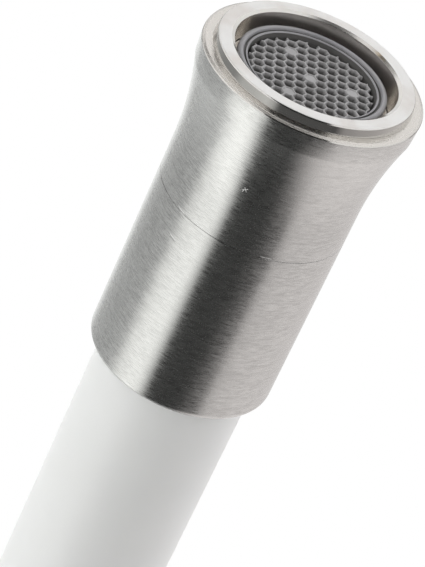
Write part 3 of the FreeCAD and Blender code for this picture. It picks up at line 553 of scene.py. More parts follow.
class Outline:
    """The closed outline that a turned piece has on one side of its axis."""

    hold_share = 0.35
    hold_reach = 0.05
    edge_reach = 0.45
    least_run = 0.02
    step_degrees = 15.0

    def __init__(self) -> None:
        """Starts an empty outline."""
        self.corners: list[Corner] = []

    @classmethod
    def ring(cls, bore: float, radius: float, ends: Step, edges: Sequence[float]) -> "Outline":
        """Gives a plain ring's outline.

        Args:
            bore: Its inner radius.
            radius: Its outer radius.
            ends: The heights of its foot and top.
            edges: How its edges are rounded: foot inside, foot outside, top outside and top inside.

        Returns:
            The outline.
        """
        low, high = ends
        outline = cls().to(bore, low, edges[0]).to(radius, low, edges[1])
        return outline.to(radius, high, edges[2]).to(bore, high, edges[3])

    @classmethod
    def pin(cls, radius: float, low: float, high: float) -> "Outline":
        """Gives a plain pin's outline, from one height to another."""
        return cls().to(0.0, low).to(radius, low).to(radius, high).to(0.0, high)

    def to(self, radius: float, height: float, edge: float = 0.0, finish: int = 0) -> "Outline":
        """Adds a corner, rounded by an edge radius."""
        self.corners.append(Corner(radius, height, edge, finish))
        return self

    def curve(self, steps: Iterable[Step]) -> "Outline":
        """Adds the points of a smooth curve."""
        for radius, height in steps:
            self.to(radius, height)
        return self

    def points(self) -> list[tuple[float, float, int]]:
        """Rounds the corners and sets holding points beside them.

        Returns:
            (radius, height, finish) for each point, where the finish is that of the run that follows.
        """
        made: list[tuple[float, float, int]] = []
        for index, corner in enumerate(self.corners):
            here = Vector((corner.radius, corner.height))
            before = self._point(index - 1) - here
            after = self._point((index + 1) % len(self.corners)) - here
            if corner.edge <= 0 or min(before.length, after.length) < self.least_run:
                made.append((here.x, here.y, corner.finish))
            else:
                made += self._rounded(here, before, after, corner, self.corners[index - 1].finish)
        return made

    def _point(self, index: int) -> Vector:
        """Gives a corner's place."""
        return Vector((self.corners[index].radius, self.corners[index].height))

    def _rounded(
        self, here: Vector, before: Vector, after: Vector, corner: Corner, last_finish: int
    ) -> list[tuple[float, float, int]]:
        """Gives the points of one rounded corner, with a holding point each side."""
        angle = before.angle(after)
        reach = corner.edge / math.tan(angle / 2)
        run = min(before.length, after.length)
        room = self.edge_reach * run
        edge = corner.edge if reach <= room else corner.edge * room / reach
        reach = min(reach, room)
        turn = math.pi - angle
        middle = here + (before.normalized() + after.normalized()).normalized() * (edge / math.sin(angle / 2))
        start = here + before.normalized() * reach
        end = here + after.normalized() * reach
        steps = max(2, math.ceil(math.degrees(turn) / self.step_degrees))
        hold = min(self.hold_share * edge, self.hold_reach * run)
        points = [(*(start + before.normalized() * hold), last_finish)]
        first = start - middle
        side = 1.0 if first.x * (end - middle).y - first.y * (end - middle).x > 0 else -1.0
        for step in range(steps + 1):
            spin = side * turn * step / steps
            x = first.x * math.cos(spin) - first.y * math.sin(spin)
            y = first.x * math.sin(spin) + first.y * math.cos(spin)
            finish = last_finish if step < steps / 2 else corner.finish
            points.append((*(middle + Vector((x, y))), finish))
        points.append((*(end + after.normalized() * hold), corner.finish))
        return points


def flare_steps(wide: Step, narrow: Step, count: int) -> list[Step]:
    """Gives points on the hollow arc from a wide edge to a plain tube, which it meets smoothly."""
    slim, top = narrow
    rise, step = top - wide[1], wide[0] - slim
    radius = (rise * rise + step * step) / (2 * step)
    total = math.asin(rise / radius)
    turns = (total * (1 - index / count) for index in range(count + 1))
    return [(slim + radius * (1 - math.cos(turn)), top - radius * math.sin(turn)) for turn in turns]


def surface_mesh(name: str, rings: Sequence[Sequence[Vector]], finishes: Sequence[int], closed: bool) -> Mesh:
    """Makes a smooth mesh from rings of points; a ring of one point is a pole.

    Args:
        name: The mesh's name.
        rings: Rings of as many points each, in metres, in order along the surface.
        finishes: The finish of the faces after each ring.
        closed: Whether the last ring joins the first.

    Returns:
        The mesh, with its faces pointing outwards and its sharp edges marked.
    """
    points = [tuple(point) for ring in rings for point in ring]
    starts = list(accumulate((len(ring) for ring in rings), initial=0))
    faces: list[tuple[int, ...]] = []
    indices: list[int] = []
    for index in range(len(rings) if closed else len(rings) - 1):
        follow = (index + 1) % len(rings)
        low_ring, high_ring = len(rings[index]) > 1, len(rings[follow]) > 1
        count = max(len(rings[index]), len(rings[follow]))
        if count == 1:
            continue
        for step in range(count):
            following = (step + 1) % count
            low = [starts[index] + step, starts[index] + following] if low_ring else [starts[index]]
            high = [starts[follow] + following, starts[follow] + step] if high_ring else [starts[follow]]
            faces.append(tuple(low + high))
            indices.append(finishes[index])
    mesh = bpy.data.meshes.new(name)
    mesh.from_pydata(points, [], faces)
    mesh.polygons.foreach_set("material_index", indices)
    return finished(mesh, turn_outwards=True)


def plain_surface(name: str, rings: Sequence[Sequence[Vector]], closed: bool) -> Mesh:
    """Makes a smooth mesh of one finish from rings of points."""
    return surface_mesh(name, rings, [0] * len(rings), closed)


def finished(mesh: Mesh, turn_outwards: bool = False) -> Mesh:
    """Shades a mesh smooth and marks its sharp edges, and may turn a closed one's faces outwards."""
    shape = bmesh.new()
    shape.from_mesh(mesh)
    bmesh.ops.remove_doubles(shape, verts=shape.verts, dist=1e-7)
    if turn_outwards:
        bmesh.ops.recalc_face_normals(shape, faces=shape.faces)
    shape.to_mesh(mesh)
    shape.free()
    mesh.shade_smooth()
    mesh.set_sharp_from_angle(angle=math.radians(SHARP_DEGREES))
    mesh.update()
    return mesh


def circle(count: int) -> list[float]:
    """Gives the angles of even steps round a circle."""
    return [FULL_TURN * step / count for step in range(count)]


def round_place(radius: float, angle: float, height: float = 0.0) -> Place:
    """Gives the place at a radius and an angle about Z."""
    return radius * math.cos(angle), radius * math.sin(angle), height


def round_ring(radius: float, height: float, count: int) -> list[Vector]:
    """Gives a level ring of points about Z, in metres, or one point where the radius is nothing."""
    if radius <= 1e-9:
        return [Vector((0.0, 0.0, height * MM))]
    return [Vector(round_place(radius, angle, height)) * MM for angle in circle(count)]


def strip_rings(strip: Callable[[float], list[Vector]], count: int) -> list[list[Vector]]:
    """Gives rings of points, in metres, from a function that gives the strip at each angle in millimetres."""
    strips = [strip(angle) for angle in circle(count)]
    return [[point * MM for point in ring] for ring in zip(*strips)]


def level_points(height: float, angle: float, steps: Iterable[Step]) -> list[Vector]:
    """Gives the points of (x, radius) steps at an angle round a level axis, counted from +Y to +Z."""
    across = Vector((0.0, math.cos(angle), math.sin(angle)))
    return [Vector((x, 0.0, height)) + across * radius for x, radius in steps]


def turned_mesh(name: str, outline: Outline, count: int = 128) -> Mesh:
    """Turns an outline about Z. An outline that starts and ends on the axis is closed by its poles."""
    steps = outline.points()
    rings = [round_ring(radius, height, count) for radius, height, _ in steps]
    on_axis = len(rings[0]) == 1 and len(rings[-1]) == 1
    return surface_mesh(name, rings, [finish for _, _, finish in steps], closed=not on_axis)


def moved_mesh(mesh: Mesh, place: Place) -> Mesh:
    """Moves a mesh by a distance in millimetres."""
    mesh.transform(Matrix.Translation(Vector(place) * MM))
    return mesh


def tipped_mesh(mesh: Mesh, degrees: float, axis: str) -> Mesh:
    """Turns a mesh about one of the model's axes."""
    mesh.transform(Matrix.Rotation(math.radians(degrees), 4, axis))
    return mesh


def joined_mesh(name: str, meshes: Sequence[Mesh]) -> Mesh:
    """Joins meshes into one."""
    shape = bmesh.new()
    for mesh in meshes:
        shape.from_mesh(mesh)
    joined = bpy.data.meshes.new(name)
    shape.to_mesh(joined)
    shape.free()
    return joined


def grain_along_x(mesh: Mesh) -> Mesh:
    """Sets the mesh's texture space far to one side, which points the brushed steel's stretch along X."""
    mesh.use_auto_texspace = False
    mesh.texspace_location = (0.0, 100.0, 0.0)
    mesh.texspace_size = (1.0, 1.0, 1.0)
    return mesh


def new_object(name: str, data: bpy.types.ID) -> Object:
    """Makes an object and links it to the scene."""
    made = bpy.data.objects.new(name, data)
    bpy.context.scene.collection.objects.link(made)
    return made


def plain_mesh(made: Object) -> Mesh:
    """Gives an object's mesh with its modifiers applied, and takes the object away."""
    graph = bpy.context.evaluated_depsgraph_get()
    mesh = bpy.data.meshes.new_from_object(made.evaluated_get(graph))
    bpy.data.objects.remove(made)
    return mesh


class Workshop:
    """Puts finished meshes on the tap."""

    def __init__(self, finishes: dict[str, Material]) -> None:
        """Takes the materials by name."""
        self.finishes = finishes

    def piece(self, name: str, mesh: Mesh, finishes: Sequence[str]) -> Object:
        """Makes an object of a mesh, with its materials in order."""
        mesh.name = name
        faces = [face.material_index for face in mesh.polygons]
        mesh.materials.clear()
        for finish in finishes:
            mesh.materials.append(self.finishes[finish])
        mesh.polygons.foreach_set("material_index", faces)
        return new_object(name, mesh)

    def fit(
        self, name: str, mesh: Mesh, body: Bodies, slot: str, nodes: Sequence[str],
        finishes: Sequence[str] = (),
    ) -> Object:
        """Makes a piece and hangs it on its body, or leaves it in place where it bends between two.

        Args:
            name: The piece's name.
            mesh: Its mesh, already in place.
            body: The body that it rides on, or the two that it bends between.
            slot: The record's material slot.
            nodes: The nodes that it stands for.
            finishes: Its materials, in the order of the mesh's finishes. Without them it has its slot's own.

        Returns:
            The piece.
        """
        made = self.piece(name, mesh, finishes or [slot])
        if isinstance(body, str):
            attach(made, body)
        else:
            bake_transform(made)
        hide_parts(*nodes)
        LOG.info("%s: %d faces, on %s", name, len(mesh.polygons), body)
        return made

    def turn(
        self, name: str, outline: Outline, count: int, body: str, slot: str, node: str,
        finishes: Sequence[str] = (), place: Place = ORIGIN,
    ) -> Object:
        """Turns an outline about Z, moves it to its place and hangs it on its body, as fit does."""
        mesh = moved_mesh(turned_mesh(name, outline, count), place)
        return self.fit(name, mesh, body, slot, [node], finishes)

    def cut(self, mesh: Mesh, cutters: Sequence[Mesh]) -> Mesh:
        """Cuts closed meshes out of a mesh."""
        any_finish = list(self.finishes)[:1]
        made = self.piece("being_cut", mesh, any_finish)
        tools = [self.piece("cutter", cutter, any_finish) for cutter in cutters]
        for tool in tools:
            modifier = made.modifiers.new("cut", "BOOLEAN")
            modifier.operation = "DIFFERENCE"
            modifier.solver = "EXACT"
            modifier.object = tool
        cut = plain_mesh(made)
        for tool in tools:
            bpy.data.objects.remove(tool)
        return finished(cut)


class Rules(NodeTree):
    """A Geometry Nodes tree with named numbers, for pieces of one material."""

    def __init__(self, name: str, material: Material, lengths: dict[str, float], **numbers: float) -> None:
        """Makes a tree with an input for each named length, in millimetres, and each named number."""
        group = bpy.data.node_groups.new(name, "GeometryNodeTree")
        super().__init__(group)
        self.material = material
        self.numbers = {**{label: length * MM for label, length in lengths.items()}, **numbers}
        group.interface.new_socket("Geometry", in_out="INPUT", socket_type="NodeSocketGeometry")
        for label, number in self.numbers.items():
            socket = group.interface.new_socket(label, in_out="INPUT", socket_type="NodeSocketFloat")
            socket.default_value = number
        group.interface.new_socket("Geometry", in_out="OUTPUT", socket_type="NodeSocketGeometry")
        self.start = self.node("NodeGroupInput")

    def given(self, label: str) -> Value:
        """Gives a named input."""
        return Value(self, self.start.outputs[label])

    def position(self) -> list[Value]:
        """Gives where a point is."""
        return self.xyz(self.out("GeometryNodeInputPosition"))

    def moved(self, geometry: Value, **inputs: object) -> Value:
        """Moves points to a Position or by an Offset, where a Selection says so."""
        return self.out("GeometryNodeSetPosition", {"Geometry": geometry, **inputs})

    def without(self, geometry: Value, faces: Value) -> Value:
        """Deletes the chosen faces."""
        inputs = {"Geometry": geometry, "Selection": faces}
        return self.out("GeometryNodeDeleteGeometry", inputs, domain="FACE")

    def gathered(self, kind: str, socket: SocketKey, parts: Sequence[Value], **settings: object) -> Value:
        """Adds a node that takes several parts in one socket."""
        made = self.node(kind, None, **settings)
        for part in parts:
            self.tree.links.new(part.socket, made.inputs[socket])
        return Value(self, made.outputs[0])

    def end(self, geometry: Value) -> "Rules":
        """Ends the tree in plain geometry with its material."""
        real = self.out("GeometryNodeRealizeInstances", {0: geometry})
        dressed = self.out("GeometryNodeSetMaterial", {"Geometry": real, "Material": self.material})
        self.node("NodeGroupOutput", {0: dressed})
        return self

    def made(self, data: bpy.types.ID) -> Mesh:
        """Runs the tree on a mesh or a curve without materials, and gives the plain mesh."""
        data.materials.append(self.material)
        base = new_object(self.tree.name, data)
        modifier = base.modifiers.new(self.tree.name, "NODES")
        modifier.node_group = self.tree
        for socket in self.tree.interface.items_tree:
            if socket.in_out == "INPUT" and socket.name in self.numbers:
                modifier[socket.identifier] = self.numbers[socket.name]
        return plain_mesh(base)


def thread_rules(radius: float, pitch: float, ends: Step, material: Material) -> Rules:
    """Makes the tree that presses a screw thread into the round wall of an upright mesh.

    Args:
        radius: The thread's crest radius, in millimetres like the rest.
        pitch: Its pitch, which is twice its depth.
        ends: The heights that it runs between.
        material: The mesh's material.

    Returns:
        The tree.
    """
    lengths = {"Crest Radius": radius, "Pitch": pitch, "Depth": pitch / 2, "Bottom": ends[0], "Top": ends[1]}
    tree = Rules("screw_thread", material, lengths)
    x, y, z = tree.position()
    out = tree.reach(x, y)
    run, depth = tree.given("Pitch"), tree.given("Depth")
    turn = tree.maths("ARCTAN2", y, x) / FULL_TURN
    phase = tree.maths("FRACT", z / run - turn + 1.0)
    groove = tree.ramp(tree.maths("ABSOLUTE", phase * 2 - 1.0), 0.25, 0.85)
    inside = tree.maths("MINIMUM", (z - tree.given("Bottom")) / run, (tree.given("Top") - z) / run)
    inside = tree.maths("MINIMUM", tree.maths("MAXIMUM", inside, 0.0), 1.0)
    on_wall = out > tree.given("Crest Radius") - depth * 0.3
    share = 1 - groove * inside * on_wall * depth / tree.maths("MAXIMUM", out, 1e-4)
    pressed = tree.join_xyz(x * share, y * share, z)
    return tree.end(tree.moved(tree.given("Geometry"), Position=pressed))


def copies_round_rules(count: int, radius: float, material: Material) -> Rules:
    """Makes the tree that stands copies of a mesh on a circle about Z, of a radius in millimetres."""
    tree = Rules("copies_round", material, {"Circle Radius": radius}, Count=float(count))
    sizes = {"Vertices": tree.given("Count"), "Radius": tree.given("Circle Radius")}
    inputs = {"Points": tree.out("GeometryNodeMeshCircle", sizes), "Instance": tree.given("Geometry")}
    return tree.end(tree.out("GeometryNodeInstanceOnPoints", inputs))


def coil_rules(radius: float, wire: float, turns: int, material: Material) -> Rules:
    """Makes the tree that winds a wire in close turns round a path.

    Args:
        radius: The coil's radius to the wire's middle, in millimetres.
        wire: The wire's radius, in millimetres.
        turns: How many turns it makes.
        material: The wire's material.

    Returns:
        The tree.
    """
    lengths = {"Coil Radius": radius, "Wire Radius": wire}
    tree = Rules("wound_core", material, lengths, Turns=float(turns), Steps=16.0)
    count = tree.given("Turns") * tree.given("Steps") + 1.0
    line = tree.out("GeometryNodeMeshLine", {"Count": count})
    share = tree.out("GeometryNodeInputIndex") / (count - 1.0)
    inputs = {"Curves": tree.given("Geometry"), "Factor": share}
    sample = tree.node("GeometryNodeSampleCurve", inputs, mode="FACTOR")
    middle, tangent = (Value(tree, sample.outputs[name]) for name in ("Position", "Tangent"))
    side = tree.vector("NORMALIZE", tree.vector("CROSS_PRODUCT", tangent, (1.0, 0.0, 0.0)))
    angle = share * tree.given("Turns") * FULL_TURN
    aside = tree.maths("COSINE", angle) * tree.given("Coil Radius")
    rise = tree.maths("SINE", angle) * tree.given("Coil Radius")
    upward = tree.out("ShaderNodeVectorMath", {0: side, 3: rise}, operation="SCALE")
    place = tree.vector("ADD", middle, tree.vector("ADD", tree.join_xyz(aside, 0.0, 0.0), upward))
    curve = tree.out("GeometryNodeMeshToCurve", {"Mesh": tree.moved(line, Position=place)})
    sizes = {"Resolution": 8, "Radius": tree.given("Wire Radius")}
    inputs = {"Curve": curve, "Profile Curve": tree.out("GeometryNodeCurvePrimitiveCircle", sizes)}
    return tree.end(tree.out("GeometryNodeCurveToMesh", {**inputs, "Fill Caps": True}))


@dataclass(frozen=True)
class Honeycomb:
    """The aerator's honeycomb: hexagonal cells with walls that widen inwards, a few of them filled in.

    The walls' profile gives half of their thickness at each depth, from their crest inwards. Its first steps
    are the same for the filled cells.
    """

    radius: float = 9.32
    thickness: float = 2.3
    pitch: float = 1.8
    profile: tuple[Step, ...] = ((0.05, 0.0), (0.1, 0.04), (0.15, 0.13), (0.19, 0.32), (0.22, 0.8))
    shared_steps: int = 3
    turn_degrees: float = 4.0
    blind_circle: float = 2 * math.sqrt(3)
    row_share: float = math.sqrt(3) / 2
    weld: float = 2e-6

    def mesh(self, material: Material) -> Mesh:
        """Grows the cells from a net of triangles, in the honeycomb's own place with its face at height 0."""
        lengths = {"Radius": self.radius, "Thickness": self.thickness, "Pitch": self.pitch}
        tree = Rules("honeycomb", material, lengths, Turn=math.radians(self.turn_degrees))
        cells = self._cells(tree)
        parts = [self._front(tree, cells), self._back(tree, cells)]
        web = self._welded(tree, tree.gathered("GeometryNodeJoinGeometry", 0, parts))
        sizes = {"Vertices": 128, "Radius": tree.given("Radius"), "Depth": tree.given("Thickness") * 4}
        parts = [self._skirt(tree, web), tree.out("GeometryNodeMeshCylinder", sizes, "Mesh")]
        settings = {"operation": "INTERSECT", "solver": "EXACT"}
        tree.end(tree.gathered("GeometryNodeMeshBoolean", "Mesh 2", parts, **settings))
        return finished(tree.made(bpy.data.meshes.new("honeycomb_base")))

    def _welded(self, tree: Rules, mesh: Value) -> Value:
        """Merges the points that lie together."""
        return tree.out("GeometryNodeMergeByDistance", {0: mesh, "Distance": self.weld})

    def _cells(self, tree: Rules) -> Value:
        """Gives a flat sheet of hexagons."""
        pitch = tree.given("Pitch")
        rows = 2 * math.ceil(self.radius / (self.pitch * self.row_share)) + 5
        columns = 2 * math.ceil(self.radius / self.pitch) + 7
        row_step = pitch * self.row_share
        sizes = {0: pitch * (columns - 1), 1: row_step * (rows - 1), 2: columns, 3: rows}
        grid = tree.out("GeometryNodeMeshGrid", sizes, "Mesh")
        row = tree.maths("ROUND", tree.position()[1] / row_step)
        odd = tree.maths("ABSOLUTE", tree.maths("MODULO", row, 2.0))
        shifted = tree.moved(grid, Offset=tree.join_xyz(odd * pitch * 0.5, 0.0, 0.0))
        triangles = tree.out("GeometryNodeTriangulate", {0: shifted}, quad_method="SHORTEST_DIAGONAL")
        hexagons = tree.out("GeometryNodeDualMesh", {0: triangles})
        spin = tree.join_xyz(0.0, 0.0, tree.given("Turn"))
        turned = tree.out("GeometryNodeTransform", {"Geometry": hexagons, "Rotation": spin})
        x, y, _ = tree.position()
        return tree.without(turned, tree.reach(x, y) > tree.given("Radius") + pitch * 0.7)

    def _open(self, tree: Rules) -> Value:
        """Says which cells are open: all but the middle one and three round it, which are filled in."""
        x, y, _ = tree.position()
        out = tree.reach(x, y)
        pitch = tree.given("Pitch")
        angle = tree.maths("ARCTAN2", y, x) - tree.given("Turn") - math.pi / 2
        on_third = tree.maths("COSINE", angle * 3.0) > 0.8
        on_circle = tree.maths("ABSOLUTE", out - pitch * self.blind_circle) < pitch * 0.3
        return 1 - tree.maths("MAXIMUM", out < pitch * 0.3, on_third * on_circle)

    def _inset(
        self, tree: Rules, sheet: Value, selection: Optional[Value], share: float, drop: Number
    ) -> tuple[Value, Value]:
        """Draws each chosen hexagon in by a share and lifts it.

        Returns:
            The mesh and the selection of the drawn-in faces.
        """
        inputs = {"Mesh": sheet, "Offset Scale": 0.0, "Individual": True}
        if selection is not None:
            inputs["Selection"] = selection
        grown = tree.node("GeometryNodeExtrudeMesh", inputs, mode="FACES")
        mesh, top = (Value(tree, grown.outputs[name]) for name in ("Mesh", "Top"))
        inputs = {"Geometry": mesh, "Selection": top, "Scale": share}
        smaller = tree.out("GeometryNodeScaleElements", inputs, domain="FACE")
        return tree.moved(smaller, Selection=top, Offset=tree.join_xyz(0.0, 0.0, drop)), top

    def _front(self, tree: Rules, cells: Value) -> Value:
        """Gives the face that is seen: rounded crests, and open cells that go right through."""
        half = self.pitch / 2
        sheet = tree.out("GeometryNodeFlipFaces", {0: cells})
        top: Optional[Value] = None
        wall, depth = 0.0, 0.0
        for index, (next_wall, next_depth) in enumerate(self.profile):
            chosen = top if index < self.shared_steps else top * self._open(tree)
            share = (half - next_wall) / (half - wall)
            sheet, top = self._inset(tree, sheet, chosen, share, (next_depth - depth) * MM)
            wall, depth = next_wall, next_depth
        rest = tree.given("Thickness") - depth * MM
        return tree.without(*self._inset(tree, sheet, top * self._open(tree), 1.0, rest))

    def _back(self, tree: Rules, cells: Value) -> Value:
        """Gives the far side of the walls."""
        lift = tree.join_xyz(0.0, 0.0, tree.given("Thickness"))
        far = tree.out("GeometryNodeTransform", {"Geometry": cells, "Translation": lift})
        share = 1 - self.profile[-1][0] / (self.pitch / 2)
        sheet, top = self._inset(tree, far, None, share, 0.0)
        return tree.without(sheet, top * self._open(tree))

    def _skirt(self, tree: Rules, web: Value) -> Value:
        """Closes the web round its outer border."""
        open_edge = tree.out("GeometryNodeInputMeshEdgeNeighbors", {}, "Face Count") < 1.5
        at_front = tree.position()[2] < tree.given("Thickness") * 0.5
        lift = tree.join_xyz(0.0, 0.0, tree.given("Thickness"))
        inputs = {"Mesh": web, "Selection": open_edge * at_front, "Offset": lift, "Offset Scale": 1.0}
        return self._welded(tree, tree.out("GeometryNodeExtrudeMesh", inputs, "Mesh", mode="EDGES"))


@dataclass
class Aerator:
    """The outlet's aerator: polished shell, grey cup, honeycomb and the plate of jets behind it."""

    mouth: Place
    face_inner: float = 12.72
    face_radius: float = 14.7
    face_edge: float = 0.28
    foot_radius: float = 15.0
    face_height: float = 1.4
    bevel_depth: float = 0.27
    bore_radius: float = 12.22
    gap_depth: float = 4.4
    shell_radius: float = 13.6
    shell_length: float = 10.5
    pocket_radius: float = 11.25
    cup_radius: float = 11.2
    cup_rim: float = 11.17
    rim_middle: float = 10.62
    rim_depth: float = 1.56
    rim_shoulder: float = 1.95
    groove_radius: float = 10.12
    groove_depth: float = 2.2
    groove_half: float = 0.08
    groove_room: float = 0.2
    groove_wall: Step = (0.16, 0.25)
    inner_rim: float = 9.8
    inner_rim_depth: float = 1.84
    lip_inside: Step = (0.15, 0.16)
    lip_outside: Step = (0.16, 0.05)
    cone_radius: float = 9.56
    cone_depth: float = 2.65
    ledge_depth: float = 5.0
    ledge_radius: float = 9.0
    honeycomb_depth: float = 2.55
    jet_depth: float = 5.5
    plate_thickness: float = 1.5
    plate_gap: float = 0.02
    jet_radius: float = 0.6
    jet_wall: float = 0.35
    jet_root: float = 0.2
    jet_count: int = 18
    jet_circle: float = 6.44

    def build(self, workshop: Workshop) -> None:
        """Makes the aerator's pieces."""
        self._shell(workshop)
        self._cup(workshop)
        x, y, z = self.mouth
        mesh = moved_mesh(Honeycomb().mesh(workshop.finishes["grey_web"]), (x, y, z + self.honeycomb_depth))
        workshop.fit("flow_honeycomb", mesh, "nozzle", "grey_plastic", ["aerator_honeycomb"], ["grey_web"])
        self._jets(workshop)

    def _shell(self, workshop: Workshop) -> None:
        """Makes the raised polished ring at the mouth, with its satin face and the bevel inside it."""
        outline = Outline().to(self.face_inner, 0.0, 0.03, finish=1)
        outline.to(self.face_radius, 0.0, self.face_edge).to(self.foot_radius, self.face_height, 0.05)
        outline.to(self.shell_radius, self.face_height).to(self.shell_radius, self.shell_length, 0.2)
        outline.to(self.pocket_radius, self.shell_length, 0.1)
        outline.to(self.pocket_radius, self.gap_depth, finish=2)
        outline.to(self.bore_radius, self.gap_depth, 0.2, finish=2)
        outline.to(self.bore_radius, self.bevel_depth, 0.04)
        finishes = ["polished_nozzle", "satin_face", "turned_bore"]
        hung = ("nozzle", "polished_steel", "aerator_shell", finishes, self.mouth)
        workshop.turn("aerator_ring", outline, 192, *hung)

    def _cup(self, workshop: Workshop) -> None:
        """Makes the grey cup: rounded outer rim, groove, thin inner rim and a cone down to the honeycomb,
        with painted shade on the cone, in the groove and on its side in the gap.
        """
        rim, rim_depth = self.inner_rim, self.inner_rim_depth
        outline = Outline().to(self.cup_radius, self.shell_length, 0.2)
        outline.to(self.ledge_radius, self.shell_length, 0.2).to(self.ledge_radius, self.ledge_depth, 0.1)
        outline.to(self.cone_radius, self.ledge_depth, finish=1)
        outline.to(self.cone_radius, self.cone_depth, 0.1, finish=1)
        outline.to(rim - self.lip_inside[0], rim_depth + self.lip_inside[1], 0.08).to(rim, rim_depth, 0.06)
        outline.to(rim + self.lip_outside[0], rim_depth + self.lip_outside[1], 0.05, finish=1)
        outline.to(self.groove_radius - self.groove_half, self.groove_depth, 0.06, finish=1)
        outline.to(self.groove_radius + self.groove_half, self.groove_depth, 0.06, finish=1)
        outline.to(self.groove_radius + self.groove_wall[0], self.groove_depth - self.groove_wall[1], 0.06)
        outline.curve(self._rim_steps()).to(self.cup_radius, self.gap_depth + 0.05, finish=1)
        # Finish 1 is a much darker grey: painted shade on the cone, in the groove and on the cup's side in
        # the gap
        hung = ("nozzle", "grey_plastic", "aerator_insert", ["grey_plastic", "grey_painted_shade"], self.mouth)
        workshop.turn("aerator_cup", outline, 192, *hung)

    def _rim_steps(self) -> list[Step]:
        """Gives the cup's rounded outer rim, from its inner side over the crest to its outer side."""
        middle, shoulder = self.rim_middle, self.rim_shoulder
        inner = middle - self.groove_radius - self.groove_room
        outer = self.cup_rim - middle
        rise = shoulder - self.rim_depth
        steps = []
        for step in range(-5, 6):
            angle = math.radians(18 * step)
            reach = inner if step < 0 else outer
            steps.append((middle + reach * math.sin(angle), shoulder - rise * math.cos(angle)))
        return steps

    def _jets(self, workshop: Workshop) -> None:
        """Makes the plate behind the honeycomb, with a ring of small raised jets."""
        radius, back = self.ledge_radius - self.plate_gap, self.jet_depth + self.plate_thickness
        plate = Outline().to(0.0, self.jet_depth).to(radius, self.jet_depth, 0.15)
        plate.to(radius, back, 0.1).to(0.0, back)
        ends = (self.jet_depth - self.jet_wall, self.jet_depth + self.jet_root)
        jet = Outline.ring(self.jet_radius, self.jet_radius + self.jet_wall, ends, (0.08, 0.12, 0.0, 0.0))
        rules = copies_round_rules(self.jet_count, self.jet_circle, workshop.finishes["grey_plastic"])
        jets = rules.made(turned_mesh("jet", jet, 24))
        mesh = joined_mesh("jet_plate", [turned_mesh("plate", plate, 96), jets])
        mesh = finished(moved_mesh(mesh, self.mouth))
        workshop.fit("jet_plate", mesh, "nozzle", "grey_plastic", ["aerator_jet_plate"])


@dataclass
class OutletNozzle:
    """The brushed nozzle: flared head, hairline seam and plain rear sleeve."""

    mouth: Place
    shoulder_depth: float = 1.4
    front_bore: float = 13.65
    rim_radius: float = 16.57
    rim_depth: float = 1.6
    rim_round: Step = (0.1, 0.16)
    lip_width: float = 0.5
    band_radius: float = 16.4
    band_depth: float = 4.7
    flare_end: float = 19.5
    radius: float = 14.31
    seam_depth: float = 24.2
    seam_edge: float = 0.035
    seam_gap: float = 0.05
    spigot_radius: float = 13.2
    spigot_gap: float = 0.05
    spigot_end: float = 34.0
    spigot_room: float = 0.3
    spigot_bore: float = 12.2
    seat_depth: float = 12.5
    connector_bore: float = 10.95
    length: float = 54.5
    rear_edge: float = 1.0
    sleeve_bore: float = 12.2
    turn_count: int = 256

    def build(self, workshop: Workshop) -> None:
        """Makes the head and the rear sleeve."""
        self._head(workshop)
        self._rear(workshop)

    def _head(self, workshop: Workshop) -> None:
        """Makes the flared head, with its polished lip and satin shoulder."""
        outline = Outline().to(self.front_bore, self.shoulder_depth, finish=2)
        outline.to(self.rim_radius - self.lip_width, self.shoulder_depth, 0.2, finish=2)
        outline.to(self.rim_radius - self.rim_round[0], self.rim_depth, 0.12, finish=1)
        outline.to(self.rim_radius, self.rim_depth + self.rim_round[1], 0.1)
        outline.curve(flare_steps((self.band_radius, self.band_depth), (self.radius, self.flare_end), 40))
        outline.to(self.radius, self.seam_depth, self.seam_edge).to(self.spigot_radius, self.seam_depth)
        outline.to(self.spigot_radius, self.spigot_end, 0.1).to(self.spigot_bore, self.spigot_end, 0.1)
        outline.to(self.spigot_bore, self.seam_depth).to(self.connector_bore, self.seam_depth)
        outline.to(self.connector_bore, self.seat_depth).to(self.front_bore, self.seat_depth)
        finishes = ["brushed_nozzle", "polished_nozzle", "turned_shoulder"]
        hung = ("nozzle", "brushed_steel", "outlet_head", finishes, self.mouth)
        workshop.turn("flared_head", outline, self.turn_count, *hung)

    def _rear(self, workshop: Workshop) -> None:
        """Makes the plain sleeve behind the seam, with its rounded rear rim."""
        bore = self.spigot_radius + self.spigot_gap
        recess = self.spigot_end + self.spigot_room
        start = self.seam_depth + self.seam_gap
        outline = Outline().to(bore, start).to(self.radius, start, self.seam_edge)
        outline.to(self.radius, self.length, self.rear_edge).to(self.sleeve_bore, self.length, 0.12)
        outline.to(self.sleeve_bore, recess).to(bore, recess)
        hung = ("nozzle", "brushed_steel", "rear_sleeve", ["brushed_nozzle"], self.mouth)
        workshop.turn("nozzle_sleeve", outline, self.turn_count, *hung)


